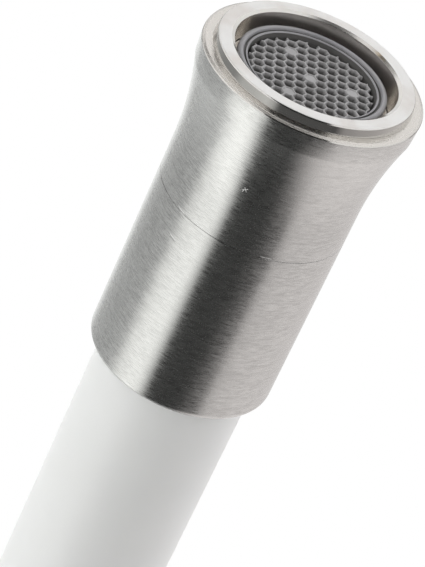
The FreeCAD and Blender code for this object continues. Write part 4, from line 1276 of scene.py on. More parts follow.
@dataclass
class BendableNeck:
    """The white silicone sleeve over its wound core and water hose, from the foot to the nozzle."""

    arc_radius: float = 95.0
    arc_height: float = 348.0
    foot: float = 148.8
    inner_foot: float = 134.8
    drop_top: float = 359.5
    drop_bottom: float = 300.0
    sleeve_end: float = 282.0
    inner_end: float = 268.0
    sleeve_radius: float = 12.04
    sleeve_bore: float = 10.0
    core_radius: float = 9.6
    core_wall: float = 2.4
    coil_pitch: float = 1.02
    coil_gap: float = 0.98
    hose_radius: float = 5.8
    hose_bore: float = 3.6
    crown_start: float = -12.5
    crown_end: float = -177.5
    arc_steps: int = 90
    split_step: int = 86
    straight_step: float = 3.0

    def build(self, workshop: Workshop) -> None:
        """Makes the sleeve, the core and the hose, each over the crown and at the lower bend."""
        paths = (self._over(self.foot), self._over(self.inner_foot))
        pieces = {
            "sleeve_over_crown": ["neck_sleeve_rise", "neck_sleeve_crown", "neck_sleeve_fall"],
            "core_over_crown": ["bending_core_crown"],
            "hose_over_crown": ["water_hose_crown"],
        }
        self._stretch(workshop, paths, pieces, ("spout", "falling_neck"))
        paths = (self._down(self.sleeve_end), self._down(self.inner_end))
        pieces = {
            "sleeve_at_nozzle": ["neck_sleeve_drop", "neck_sleeve_end"],
            "core_at_nozzle": ["bending_core_drop"],
            "hose_at_nozzle": ["water_hose_drop"],
        }
        self._stretch(workshop, paths, pieces, ("falling_neck", "nozzle"))

    def _stretch(
        self, workshop: Workshop, paths: tuple[Path, Path], pieces: dict[str, list[str]], bodies: Bodies,
    ) -> None:
        """Makes one stretch of the sleeve, the core and the hose.

        Args:
            workshop: What puts the pieces on the tap.
            paths: The sleeve's path, and that of the core and the hose.
            pieces: The nodes that the sleeve, the core and the hose stand for, by the pieces' names.
            bodies: The two bodies that it bends between.
        """
        outer, inner = paths
        sleeve, core, hose = pieces
        mesh = self._tube(sleeve, outer, self.sleeve_radius, self.sleeve_bore, 128)
        workshop.fit(sleeve, mesh, bodies, "white_silicone", pieces[sleeve])
        mesh = self._coil(workshop.finishes["plain_steel"], inner)
        workshop.fit(core, mesh, bodies, "plain_steel", pieces[core])
        mesh = self._tube(hose, inner, self.hose_radius, self.hose_bore, 32)
        workshop.fit(hose, mesh, bodies, "clear_hose", pieces[hose])

    def _arc(self, first: int, last: int) -> Path:
        """Gives (place, direction) steps over the crown, between two steps counted from the rising side."""
        steps = []
        for index in range(first, last + 1):
            angle = math.pi * index / self.arc_steps
            y = self.arc_radius * (math.cos(angle) - 1)
            z = self.arc_height + self.arc_radius * math.sin(angle)
            steps.append((Vector((0.0, y, z)), Vector((0.0, -math.sin(angle), math.cos(angle)))))
        return steps

    def _over(self, foot: float) -> Path:
        """Gives (place, direction) steps from the foot over the crown to the split above the lower bend."""
        rise = self.arc_height - foot
        count = math.ceil(rise / (3 * self.straight_step))
        steps = [(Vector((0.0, 0.0, foot + rise * index / count)), UP) for index in range(count)]
        return steps + self._arc(0, self.split_step)

    def _down(self, bottom: float) -> Path:
        """Gives (place, direction) steps from the split down into the nozzle."""
        drop = self.arc_height - bottom
        count = math.ceil(drop / self.straight_step)
        steps = self._arc(self.split_step, self.arc_steps)
        for index in range(1, count + 1):
            steps.append((Vector((0.0, -2 * self.arc_radius, self.arc_height - drop * index / count)), -UP))
        return steps

    def _tube(self, name: str, path: Path, outer: float, inner: float, count: int) -> Mesh:
        """Makes a tube with a wall along a path in the YZ plane."""
        rings = []
        side = Vector((1.0, 0.0, 0.0))
        for radius, steps in ((outer, path), (inner, path[::-1])):
            arms = [round_place(radius, angle) for angle in circle(count)]
            for place, way in steps:
                over = side.cross(way)
                rings.append([(place + side * aside + over * rise) * MM for aside, rise, _ in arms])
        return plain_surface(name, rings, closed=True)

    def _coil(self, material: Material, path: Path) -> Mesh:
        """Winds the core's wire along a path, in close turns."""
        curve = bpy.data.curves.new("core_path", "CURVE")
        curve.dimensions = "3D"
        spline = curve.splines.new("POLY")
        spline.points.add(len(path) - 1)
        for point, (place, _) in zip(spline.points, path):
            point.co = (*(place * MM), 1.0)
        length = sum((after[0] - before[0]).length for before, after in zip(path, path[1:]))
        wire = self.core_wall / 2
        turns = math.floor((length - self.core_wall) / (self.core_wall * self.coil_pitch))
        rules = coil_rules(self.core_radius - wire, wire * self.coil_gap, turns, material)
        return finished(rules.made(curve))


@dataclass
class SpoutFoot:
    """The ferrule that the neck stands in, and the slip ring that it turns on."""

    bottom: float = 128.8
    foot_radius: float = 23.4
    foot_height: float = 3.0
    flare_height: float = 24.0
    radius: float = 14.31
    height: float = 57.0
    rim_edge: float = 1.0
    bore: float = 12.2
    recess: float = 15.05
    recess_height: float = 5.0
    slip_radius: float = 22.5
    slip_bore: float = 13.3
    slip_bottom: float = 128.0

    def build(self, workshop: Workshop) -> None:
        """Makes the ferrule and the slip ring."""
        top = self.bottom + self.height
        step = self.bottom + self.recess_height
        wide = (self.foot_radius, self.bottom + self.foot_height)
        outline = Outline().to(self.recess, self.bottom).to(self.foot_radius, self.bottom, 0.25)
        outline.curve(flare_steps(wide, (self.radius, self.bottom + self.flare_height), 36))
        outline.to(self.radius, top, self.rim_edge).to(self.bore, top, 0.12)
        outline.to(self.bore, step).to(self.recess, step)
        workshop.turn("neck_ferrule", outline, 192, "spout", "brushed_steel", "spout_ferrule")
        ends = (self.slip_bottom, self.bottom)
        ring = Outline.ring(self.slip_bore, self.slip_radius, ends, (0.0, 0.15, 0.15, 0.0))
        workshop.turn("turning_ring", ring, 128, "body", "white_plastic", "slip_ring")


@dataclass
class TapBody:
    """The upright body, its cartridge boss with the weld's fillet, and the rings under it."""

    radius: float = 24.0
    bottom: float = 8.0
    top: float = 128.0
    top_edge: float = 2.0
    socket_radius: float = 13.0
    socket_floor: float = 104.0
    shank_bore: float = 16.55
    shank_top: float = 24.0
    inlet_x: float = 4.0
    inlet_half_spacing: float = 6.5
    inlet_radius: float = 4.5
    inlet_mouth: float = 0.6
    inlet_taper: float = 1.2
    inlet_length: float = 12.0
    waterway_radius: float = 2.8
    screw_height: float = 121.0
    screw_bore: float = 2.55
    screw_mouth: float = 0.5
    boss_radius: float = 18.0
    boss_end: float = 42.0
    boss_rim: float = 0.5
    boss_rim_room: float = 0.8
    boss_lip_room: float = 0.2
    boss_height: float = 84.0
    boss_bore: float = 13.0
    skirt_bore: float = 15.55
    skirt_start: float = 38.0
    fillet: float = 1.5
    fillet_steps: int = 8
    foot_sink: float = 0.05
    base_radius: float = 27.0
    base_edge: float = 2.0
    gasket_radius: float = 26.0
    gasket_height: float = 1.5
    base_bore: float = 16.8

    def build(self, workshop: Workshop) -> None:
        """Makes the upright, the boss, the base ring and its gasket."""
        self._upright(workshop)
        mesh = grain_along_x(plain_surface("lever_boss", strip_rings(self._boss_strip, 192), closed=True))
        workshop.fit("lever_boss", mesh, "body", "brushed_steel", ["cartridge_boss"], ["brushed_across"])
        ends = (self.gasket_height, self.bottom)
        ring = Outline.ring(self.base_bore, self.base_radius, ends, (0.0, 0.25, self.base_edge, 0.0))
        workshop.turn("deck_ring", ring, 192, "body", "brushed_steel", "base_ring")
        ends = (0.0, self.gasket_height)
        gasket = Outline.ring(self.base_bore, self.gasket_radius, ends, (0.2, 0.3, 0.3, 0.2))
        workshop.turn("deck_gasket", gasket, 128, "body", "black_rubber", "base_gasket")

    def _upright(self, workshop: Workshop) -> None:
        """Makes the upright, with the inlets seen from below and the screw's hole at the back."""
        outline = Outline().to(0.0, self.shank_top).to(self.shank_bore, self.shank_top)
        outline.to(self.shank_bore, self.bottom).to(self.radius, self.bottom, 0.2)
        outline.to(self.radius, self.top, self.top_edge).to(self.socket_radius, self.top, 0.2)
        outline.to(self.socket_radius, self.socket_floor).to(0.0, self.socket_floor)
        mesh = turned_mesh("upright_body", outline, 192)
        cut = workshop.cut(mesh, [self._screw_cutter(), self._inlet_cutter(-1), self._inlet_cutter(1)])
        workshop.fit("upright_body", cut, "body", "brushed_steel", ["mixer_body"])

    def _inlet_cutter(self, side: int) -> Mesh:
        """Gives the shape of one inlet, with its thread's bore and the waterway behind it."""
        start, end = self.shank_top, self.shank_top + self.inlet_length
        wide, deep = self.inlet_radius + self.inlet_mouth, end + self.inlet_length
        outline = Outline().to(0.0, start - 1.0).to(wide, start - 1.0).to(wide, start)
        outline.to(self.inlet_radius, start + self.inlet_mouth).to(self.inlet_radius, end)
        outline.to(self.waterway_radius, end + self.inlet_taper).to(self.waterway_radius, deep).to(0.0, deep)
        place = (self.inlet_x, side * self.inlet_half_spacing, 0.0)
        return moved_mesh(turned_mesh("inlet_cutter", outline, 48), place)

    def _screw_cutter(self) -> Mesh:
        """Gives the bore for the screw that keeps the spout in its socket."""
        start, half = self.socket_radius - 1.0, self.screw_mouth / 2
        wide, end = self.screw_bore + self.screw_mouth, self.radius + 2.0
        outline = Outline().to(0.0, start).to(self.screw_bore, start).to(self.screw_bore, self.radius - half)
        outline.to(wide, self.radius + half).to(wide, end).to(0.0, end)
        mesh = tipped_mesh(turned_mesh("screw_cutter", outline, 48), -90, "X")
        return moved_mesh(mesh, (0.0, 0.0, self.screw_height))

    def _boss_strip(self, angle: float) -> list[Vector]:
        """Gives the boss's wall in one direction, as a closed loop over a rolling-ball fillet to the upright.

        Args:
            angle: The direction from the boss's axis, counted from +Y.

        Returns:
            Points in millimetres.
        """
        ball, height, sideways = self.fillet, self.boss_height, math.cos(angle)
        ball_x = math.sqrt((self.radius + ball) ** 2 - ((self.boss_radius + ball) * sideways) ** 2)
        room = self.boss_end - self.boss_rim_room - ball_x
        wall = [(ball_x + room * share, self.boss_radius) for share in (0.97, 0.5, 0.03)]
        points = level_points(height, angle, self._boss_front() + wall)
        middle_steps = ((ball_x, self.boss_radius + ball), (ball_x, self.boss_radius))
        middle, on_boss = level_points(height, angle, middle_steps)
        on_body = middle - Vector((middle.x, middle.y, 0.0)).normalized() * ball
        start, end = ((place - middle).normalized() for place in (on_boss, on_body))
        turn = start.angle(end)
        for step in range(self.fillet_steps + 1):
            share = step / self.fillet_steps
            arm = (start * math.sin((1 - share) * turn) + end * math.sin(share * turn)) / math.sin(turn)
            points.append(middle + arm * ball)
        foot_x = math.sqrt(self.radius ** 2 - (self.boss_bore * sideways) ** 2) - self.foot_sink
        return points + level_points(height, angle, [(foot_x, self.boss_bore)])

    def _boss_front(self) -> list[Step]:
        """Gives (x, radius) steps of the boss's front end: the bore, the skirt's seat and the rounded rim."""
        rim, start, end = self.boss_rim, self.skirt_start, self.boss_end
        steps = [(start, self.boss_bore), (start, self.skirt_bore), (end, self.skirt_bore)]
        steps.append((end, self.boss_radius - rim - self.boss_lip_room))
        for step in range(7):
            angle = math.radians(90 * step / 6)
            steps.append((end - rim + rim * math.cos(angle), self.boss_radius - rim + rim * math.sin(angle)))
        return steps


@dataclass
class DeckFixing:
    """What holds the tap from below: threaded shank, washers, nut and jack screws."""

    shank_radius: float = 16.5
    shank_bore: float = 13.5
    shank_bottom: float = -92.0
    shank_top: float = 24.0
    shank_chamfer: float = 1.2
    thread_pitch: float = 1.5
    thread_top: float = -1.0
    rubber_top: float = -30.0
    rubber_bottom: float = -33.0
    rubber_radius: float = 27.0
    washer_bottom: float = -35.0
    washer_radius: float = 28.0
    washer_bore: float = 16.8
    nut_bottom: float = -47.0
    nut_radius: float = 27.0
    nut_bore: float = 16.55
    slot_count: int = 4
    slot_width: float = 5.0
    slot_depth: float = 3.0
    screw_count: int = 3
    screw_circle: float = 21.8
    screw_radius: float = 2.5
    screw_gap: float = 0.05
    screw_pitch: float = 0.8
    screw_tip: float = 0.3
    screw_free: float = 7.0
    head_across_flats: float = 8.0
    head_height: float = 3.5
    cut_over: float = 2.0
    rows_per_pitch: int = 5

    def build(self, workshop: Workshop) -> None:
        """Makes the fixing's pieces."""
        self._shank(workshop)
        self._washers(workshop)
        self._nut(workshop)
        self._jack_screws(workshop)

    def _rows(self, radius: float, bottom: float, top: float, pitch: float) -> list[Step]:
        """Gives close rows of points up a round wall, for a thread to be pressed into."""
        count = math.ceil((top - bottom) / (pitch / self.rows_per_pitch))
        return [(radius, bottom + (top - bottom) * index / count) for index in range(count + 1)]

    def _shank(self, workshop: Workshop) -> None:
        """Makes the threaded shank."""
        outline = Outline().to(self.shank_bore, self.shank_bottom, 0.3)
        outline.to(self.shank_radius - self.shank_chamfer, self.shank_bottom, 0.1)
        start = self.shank_bottom + self.shank_chamfer
        outline.curve(self._rows(self.shank_radius, start, self.thread_top, self.thread_pitch))
        outline.to(self.shank_radius, self.shank_top).to(self.shank_bore, self.shank_top)
        ends = (self.shank_bottom, self.thread_top)
        rules = thread_rules(self.shank_radius, self.thread_pitch, ends, workshop.finishes["brass"])
        mesh = finished(rules.made(turned_mesh("threaded_shank", outline, 96)))
        workshop.fit("threaded_shank", mesh, "body", "brass", ["mounting_shank"])

    def _washers(self, workshop: Workshop) -> None:
        """Makes the rubber and steel washers."""
        low, middle, high = self.washer_bottom, self.rubber_bottom, self.rubber_top
        rubber = Outline.ring(self.washer_bore, self.rubber_radius, (middle, high), (0.3, 0.6, 0.6, 0.3))
        workshop.turn("rubber_washer", rubber, 128, "body", "black_rubber", "clamp_rubber_washer")
        steel = Outline.ring(self.washer_bore, self.washer_radius, (low, middle), (0.2, 0.3, 0.3, 0.2))
        workshop.turn("steel_washer", steel, 128, "body", "plain_steel", "clamp_steel_washer")

    def _nut(self, workshop: Workshop) -> None:
        """Makes the round nut with its spanner slots and the jack screws' holes."""
        ends = (self.nut_bottom, self.washer_bottom)
        nut = Outline.ring(self.nut_bore, self.nut_radius, ends, (0.5, 0.9, 0.5, 0.3))
        mesh = turned_mesh("round_nut", nut, 128)
        cutters = [self._slot_cutter(index) for index in range(self.slot_count)]
        low, high = self.nut_bottom - self.cut_over, self.washer_bottom + self.cut_over
        hole = Outline.pin(self.screw_radius + self.screw_gap, low, high)
        for angle in circle(self.screw_count):
            cutters.append(moved_mesh(turned_mesh("hole", hole, 32), round_place(self.screw_circle, angle)))
        workshop.fit("round_nut", workshop.cut(mesh, cutters), "body", "brass", ["clamp_nut"])

    def _slot_cutter(self, index: int) -> Mesh:
        """Gives the block that cuts one spanner slot."""
        height = self.washer_bottom - self.nut_bottom
        shape = bmesh.new()
        bmesh.ops.create_cube(shape, size=1.0)
        size = Vector((2 * self.slot_depth, self.slot_width, height + 2 * self.cut_over)) * MM
        bmesh.ops.scale(shape, vec=size, verts=shape.verts)
        mesh = bpy.data.meshes.new("slot")
        shape.to_mesh(mesh)
        shape.free()
        moved_mesh(mesh, (self.nut_radius, 0.0, self.nut_bottom + height / 2))
        mesh.transform(Matrix.Rotation(FULL_TURN * (index + 0.5) / self.slot_count, 4, "Z"))
        return mesh

    def _jack_screws(self, workshop: Workshop) -> None:
        """Makes the jack screws: a threaded shaft and a chamfered hexagonal head, three times round."""
        radius, pitch, steel = self.screw_radius, self.screw_pitch, workshop.finishes["plain_steel"]
        top, neck = self.washer_bottom, self.nut_bottom - self.screw_free
        shaft = Outline().to(0.0, neck).curve(self._rows(radius, neck, top - self.screw_tip, pitch))
        shaft.to(radius - self.screw_tip, top).to(0.0, top)
        mesh = thread_rules(radius, pitch, (neck, top), steel).made(turned_mesh("jack_shaft", shaft, 32))
        both = finished(joined_mesh("jack_screw", [mesh, self._head(neck)]))
        mesh = finished(copies_round_rules(self.screw_count, self.screw_circle, steel).made(both))
        workshop.fit("clamp_screws", mesh, "body", "plain_steel", ["jack_screws"])

    def _head(self, neck: float) -> Mesh:
        """Gives a hexagonal head whose corners are turned off at the free end."""
        flat, foot = self.head_across_flats / 2, neck - self.head_height
        free = self.head_across_flats
        limits = ((neck, free), (foot + 0.5, free), (foot + 0.35, flat * 1.09), (foot, flat * 0.97))
        rings = [[Vector((0.0, 0.0, neck)) * MM]]
        for height, limit in limits:
            ring = []
            for angle in circle(72):
                off = (angle + math.pi / 6) % (math.pi / 3) - math.pi / 6
                radius = min(flat / math.cos(off), limit)
                ring.append(Vector(round_place(radius, angle, height)) * MM)
            rings.append(ring)
        rings.append([Vector((0.0, 0.0, foot)) * MM])
        return plain_surface("jack_head", rings, closed=False)


@dataclass
class SideLever:
    """The handle: dome over the cartridge, round cap with a slanted rim, lever rod and index plug."""

    height: float = 84.0
    boss_end: float = 42.0
    pivot_x: float = 43.0
    dome_radius: float = 17.0
    dome_wall: float = 1.2
    dome_opening: float = 12.2
    skirt_radius: float = 15.5
    skirt_bore: float = 13.6
    skirt_length: float = 4.0
    cap_radius: float = 19.6
    cap_gap: float = 0.4
    cap_rim: float = 0.4
    cap_land: float = 0.15
    cap_lip: Step = (0.02, 0.12)
    cap_top_rim_x: float = 44.5
    cap_far_rim_x: float = 51.3693
    cap_end_x: float = 71.0
    cap_edge: float = 5.0
    cap_crown: float = 0.35
    cut_over: float = 4.0
    rod_radius: float = 4.0
    rod_gap: float = 0.05
    rod_x: float = 59.0
    rod_seat: float = 18.4
    rod_thread_radius: float = 2.5
    rod_thread_length: float = 5.2
    rod_top: float = 104.6
    rod_edge: float = 1.2
    plug_x: float = 63.4
    plug_radius: float = 3.0
    plug_gap: float = 0.06
    plug_depth: float = 2.5
    plug_stand_out: float = 0.25
    plug_edge_start: float = 0.9
    plug_wall: float = 0.6

    def build(self, workshop: Workshop) -> None:
        """Makes the handle's pieces."""
        self._dome(workshop)
        self._cap(workshop)
        self._rod(workshop)
        self._plug(workshop)

    def _dome(self, workshop: Workshop) -> None:
        """Makes the polished dome that the cap turns over."""
        start, foot = self.boss_end - self.skirt_length, self.boss_end - self.pivot_x
        outer, inner = self.dome_radius, self.dome_radius - self.dome_wall
        outline = Outline().to(self.skirt_bore, start).to(self.skirt_radius, start, 0.2)
        outline.to(self.skirt_radius, self.boss_end)
        outline.curve(self._ball(outer, foot, math.sqrt(outer ** 2 - self.dome_opening ** 2)))
        outline.curve(self._ball(inner, math.sqrt(inner ** 2 - self.dome_opening ** 2), foot))
        outline.to(self.skirt_bore, self.boss_end)
        mesh = tipped_mesh(turned_mesh("lever_dome", outline, 128), 90, "Y")
        moved_mesh(mesh, (0.0, 0.0, self.height))
        workshop.fit("lever_dome", mesh, "body", "polished_steel", ["dome_cover"], ["polished_dome"])

    def _ball(self, radius: float, start: float, end: float, count: int = 24) -> list[Step]:
        """Gives (radius, x) steps on a ball about the pivot, between two distances along X from it."""
        first = math.asin(start / radius)
        last = math.asin(end / radius)
        turns = (first + (last - first) * index / count for index in range(count + 1))
        return [(radius * math.cos(turn), self.pivot_x + radius * math.sin(turn)) for turn in turns]

    def _cap(self, workshop: Workshop) -> None:
        """Makes the cap, strip by strip because its rim is slanted, with the rod's and the plug's seats."""
        rings = strip_rings(self._cap_strip, 192)
        rings[0], rings[-1] = rings[0][:1], rings[-1][:1]
        mesh = plain_surface("lever_cap", rings, closed=False)
        floor, end = self.cap_radius - self.plug_depth, self.cap_radius + self.cut_over
        seat = turned_mesh("rod_seat", Outline.pin(self.rod_radius + self.rod_gap, self.rod_seat, end), 64)
        cutters = [moved_mesh(seat, (self.rod_x, 0.0, self.height))]
        seat = turned_mesh("plug_seat", Outline.pin(self.plug_radius + self.plug_gap, floor, end), 64)
        cutters.append(moved_mesh(tipped_mesh(seat, 90, "X"), (self.plug_x, 0.0, self.height)))
        mesh = grain_along_x(workshop.cut(mesh, cutters))
        workshop.fit("lever_cap", mesh, "lever", "brushed_steel", ["handle_cap"], ["brushed_across"])

    def _rim_x(self, rise: float) -> float:
        """Gives where the slanted rim lies along X at a height above the axis."""
        share = (self.cap_radius - rise) / (2 * self.cap_radius)
        return self.cap_top_rim_x + (self.cap_far_rim_x - self.cap_top_rim_x) * share

    def _cap_strip(self, angle: float) -> list[Vector]:
        """Gives the cap's wall in one direction, from the middle of its end round the rim into the hollow."""
        radius, edge, rim, end_x = self.cap_radius, self.cap_edge, self.cap_rim, self.cap_end_x
        flat, edge_x = radius - edge, end_x - self.cap_crown
        shares = (0.0, 0.25, 0.5, 0.75, 0.95)
        steps = [(end_x - self.cap_crown * share ** 2, flat * share) for share in shares]
        for step in range(13):
            turn = math.radians(90 * step / 12)
            steps.append((edge_x - edge * (1 - math.cos(turn)), flat + edge * math.sin(turn)))
        outer_rim = self._rim_x(math.sin(angle) * radius)
        start = edge_x - edge
        for share in (0.03, 0.3, 0.6, 0.97):
            steps.append((start + (outer_rim + rim + self.cap_land - start) * share, radius))
        for step in range(6):
            turn = math.radians(90 * step / 5)
            steps.append((outer_rim + rim * (1 - math.sin(turn)), radius - rim * (1 - math.cos(turn))))
        hollow = self.dome_radius + self.cap_gap
        inner_rim = self._rim_x(math.sin(angle) * hollow)
        steps.append((inner_rim + self.cap_lip[0], hollow + self.cap_lip[1]))
        first = math.asin(min(0.999, max(inner_rim - self.pivot_x + self.cap_land, 0.2) / hollow))
        for step in range(17):
            turn = first + (math.pi / 2 - first) * step / 16
            steps.append((self.pivot_x + hollow * math.sin(turn), hollow * math.cos(turn)))
        return level_points(self.height, angle, steps)

    def _rod(self, workshop: Workshop) -> None:
        """Makes the lever rod."""
        foot = self.rod_seat - self.rod_thread_length
        rod = Outline().to(0.0, foot).to(self.rod_thread_radius, foot, 0.3)
        rod.to(self.rod_thread_radius, self.rod_seat).to(self.rod_radius, self.rod_seat)
        rod.to(self.rod_radius, self.rod_top, self.rod_edge).to(0.0, self.rod_top)
        hung = ("lever", "brushed_steel", "lever_rod", ["brushed_rod"], (self.rod_x, 0.0, self.height))
        workshop.turn("lever_handle_rod", rod, 96, *hung)

    def _plug(self, workshop: Workshop) -> None:
        """Makes the index plug, with a face that follows the cap's round side."""
        rings = []
        for share in (0.0, 0.3, 0.6, 0.85, 0.93, 0.98, 1.0):
            past_edge = max(0.0, (share - self.plug_edge_start) / (1 - self.plug_edge_start))
            kept = math.sqrt(max(0.0, 1 - past_edge ** 2))
            rings.append(self._plug_ring(share, self.plug_stand_out * kept))
        rings.append(self._plug_ring(1.0, -self.plug_wall))
        floor = -(self.cap_radius - self.plug_depth)
        rings.append([Vector((point.x, floor * MM, point.z)) for point in self._plug_ring(1.0, 0.0)])
        rings.append([Vector((self.plug_x, floor, self.height)) * MM])
        rings[0] = rings[0][:1]
        mesh = plain_surface("hot_cold_mark", rings, closed=False)
        workshop.fit("hot_cold_mark", mesh, "lever", "index_plastic", ["index_plug"])

    def _plug_ring(self, share: float, stand_out: float) -> list[Vector]:
        """Gives a ring of the plug's face, at a share of its radius and a height over the cap's skin."""
        ring = []
        for angle in circle(48):
            x = self.plug_x + self.plug_radius * share * math.cos(angle)
            rise = self.plug_radius * share * math.sin(angle)
            y = -math.sqrt((self.cap_radius + stand_out) ** 2 - rise ** 2)
            ring.append(Vector((x, y, self.height + rise)) * MM)
        return ring


@dataclass(frozen=True)
class PhotoCamera:
    """The photograph's camera, by where the mouth lies before it and which way the outlet points there."""

    mouth: Place
    lens: float = 185.16
    mouth_in_camera: Place = (14.594, 30.477, -403.446)
    outlet_in_camera: Place = (0.3557, 0.7560, 0.5495)
    bearing_degrees: float = -45.0
    clip_start: float = 0.01
    clip_end: float = 60.0

    def towards(self) -> Vector:
        """Gives the level direction from the nozzle to the camera."""
        bearing = math.radians(self.bearing_degrees)
        return Vector((math.cos(bearing), math.sin(bearing), 0.0))

    def build(self) -> None:
        """Makes the camera and gives it to the scene."""
        outlet = Vector(self.outlet_in_camera).normalized()
        level = (UP - outlet * UP.dot(outlet)).normalized()
        camera_axes = Matrix((outlet, level, outlet.cross(level)))
        down, level_here = -UP, self.towards()
        world_axes = Matrix((down, level_here, down.cross(level_here))).transposed()
        turn = world_axes @ camera_axes
        place = (Vector(self.mouth) - turn @ Vector(self.mouth_in_camera)) * MM
        data = bpy.data.cameras.new("photo_camera")
        data.lens = self.lens
        data.clip_start = self.clip_start
        data.clip_end = self.clip_end
        camera = new_object("photo_camera", data)
        camera.matrix_world = Matrix.Translation(place) @ turn.to_4x4()
        bpy.context.scene.camera = camera
        LOG.info("camera at %s", tuple(round(part, 4) for part in place))


@dataclass(frozen=True)
class Card:
    """One bearing of the surround, with how bright it is at middle heights and high up.

    The bearing is in degrees round the tap from the camera's side, negative to the photograph's left.
    """

    bearing: float
    middle: float
    high: float
    colour: Colour


@dataclass(frozen=True)
class Lamp:
    """A soft round lamp, by how far it is to the camera's left, towards the camera and up, in metres."""

    name: str
    left: float
    ahead: float
    height: float
    watts: float
    colour: Colour


COOL: Colour = (0.985, 1.0, 0.99)
PLAIN: Colour = (0.99, 1.0, 0.975)
WARM: Colour = (1.0, 0.955, 0.94)

CARDS = (
    Card(-180.0, 1.4, 1.2, COOL),
    Card(-158.0, 1.35, 1.2, COOL),
    Card(-140.0, 0.87, 1.0, COOL),
    Card(-122.0, 0.60, 0.90, COOL),
    Card(-98.0, 0.48, 0.86, COOL),
    Card(-76.0, 0.56, 0.80, COOL),
    Card(-62.0, 1.3, 1.75, PLAIN),
    Card(-46.0, 1.45, 2.0, PLAIN),
    Card(-31.0, 1.75, 1.55, PLAIN),
    Card(-23.0, 1.25, 0.6, PLAIN),
    Card(-16.5, 0.075, 0.045, PLAIN),
    Card(30.0, 0.065, 0.04, PLAIN),
    Card(45.5, 0.06, 0.36, WARM),
    Card(54.5, 0.74, 0.86, WARM),
    Card(72.0, 0.87, 1.05, WARM),
    Card(110.0, 0.94, 1.17, WARM),
    Card(155.0, 0.92, 1.07, WARM),
    Card(180.0, 1.05, 1.05, COOL),
)

LAMPS = (
    Lamp("key", 0.6, 0.2, 2.1, 27.0, (1.0, 0.998, 0.99)),
    Lamp("fill", -1.6, -0.9, 0.8, 5.0, (0.84, 0.93, 1.0)),
    Lamp("front", -0.3, 1.8, 0.9, 3.5, WHITE),
)


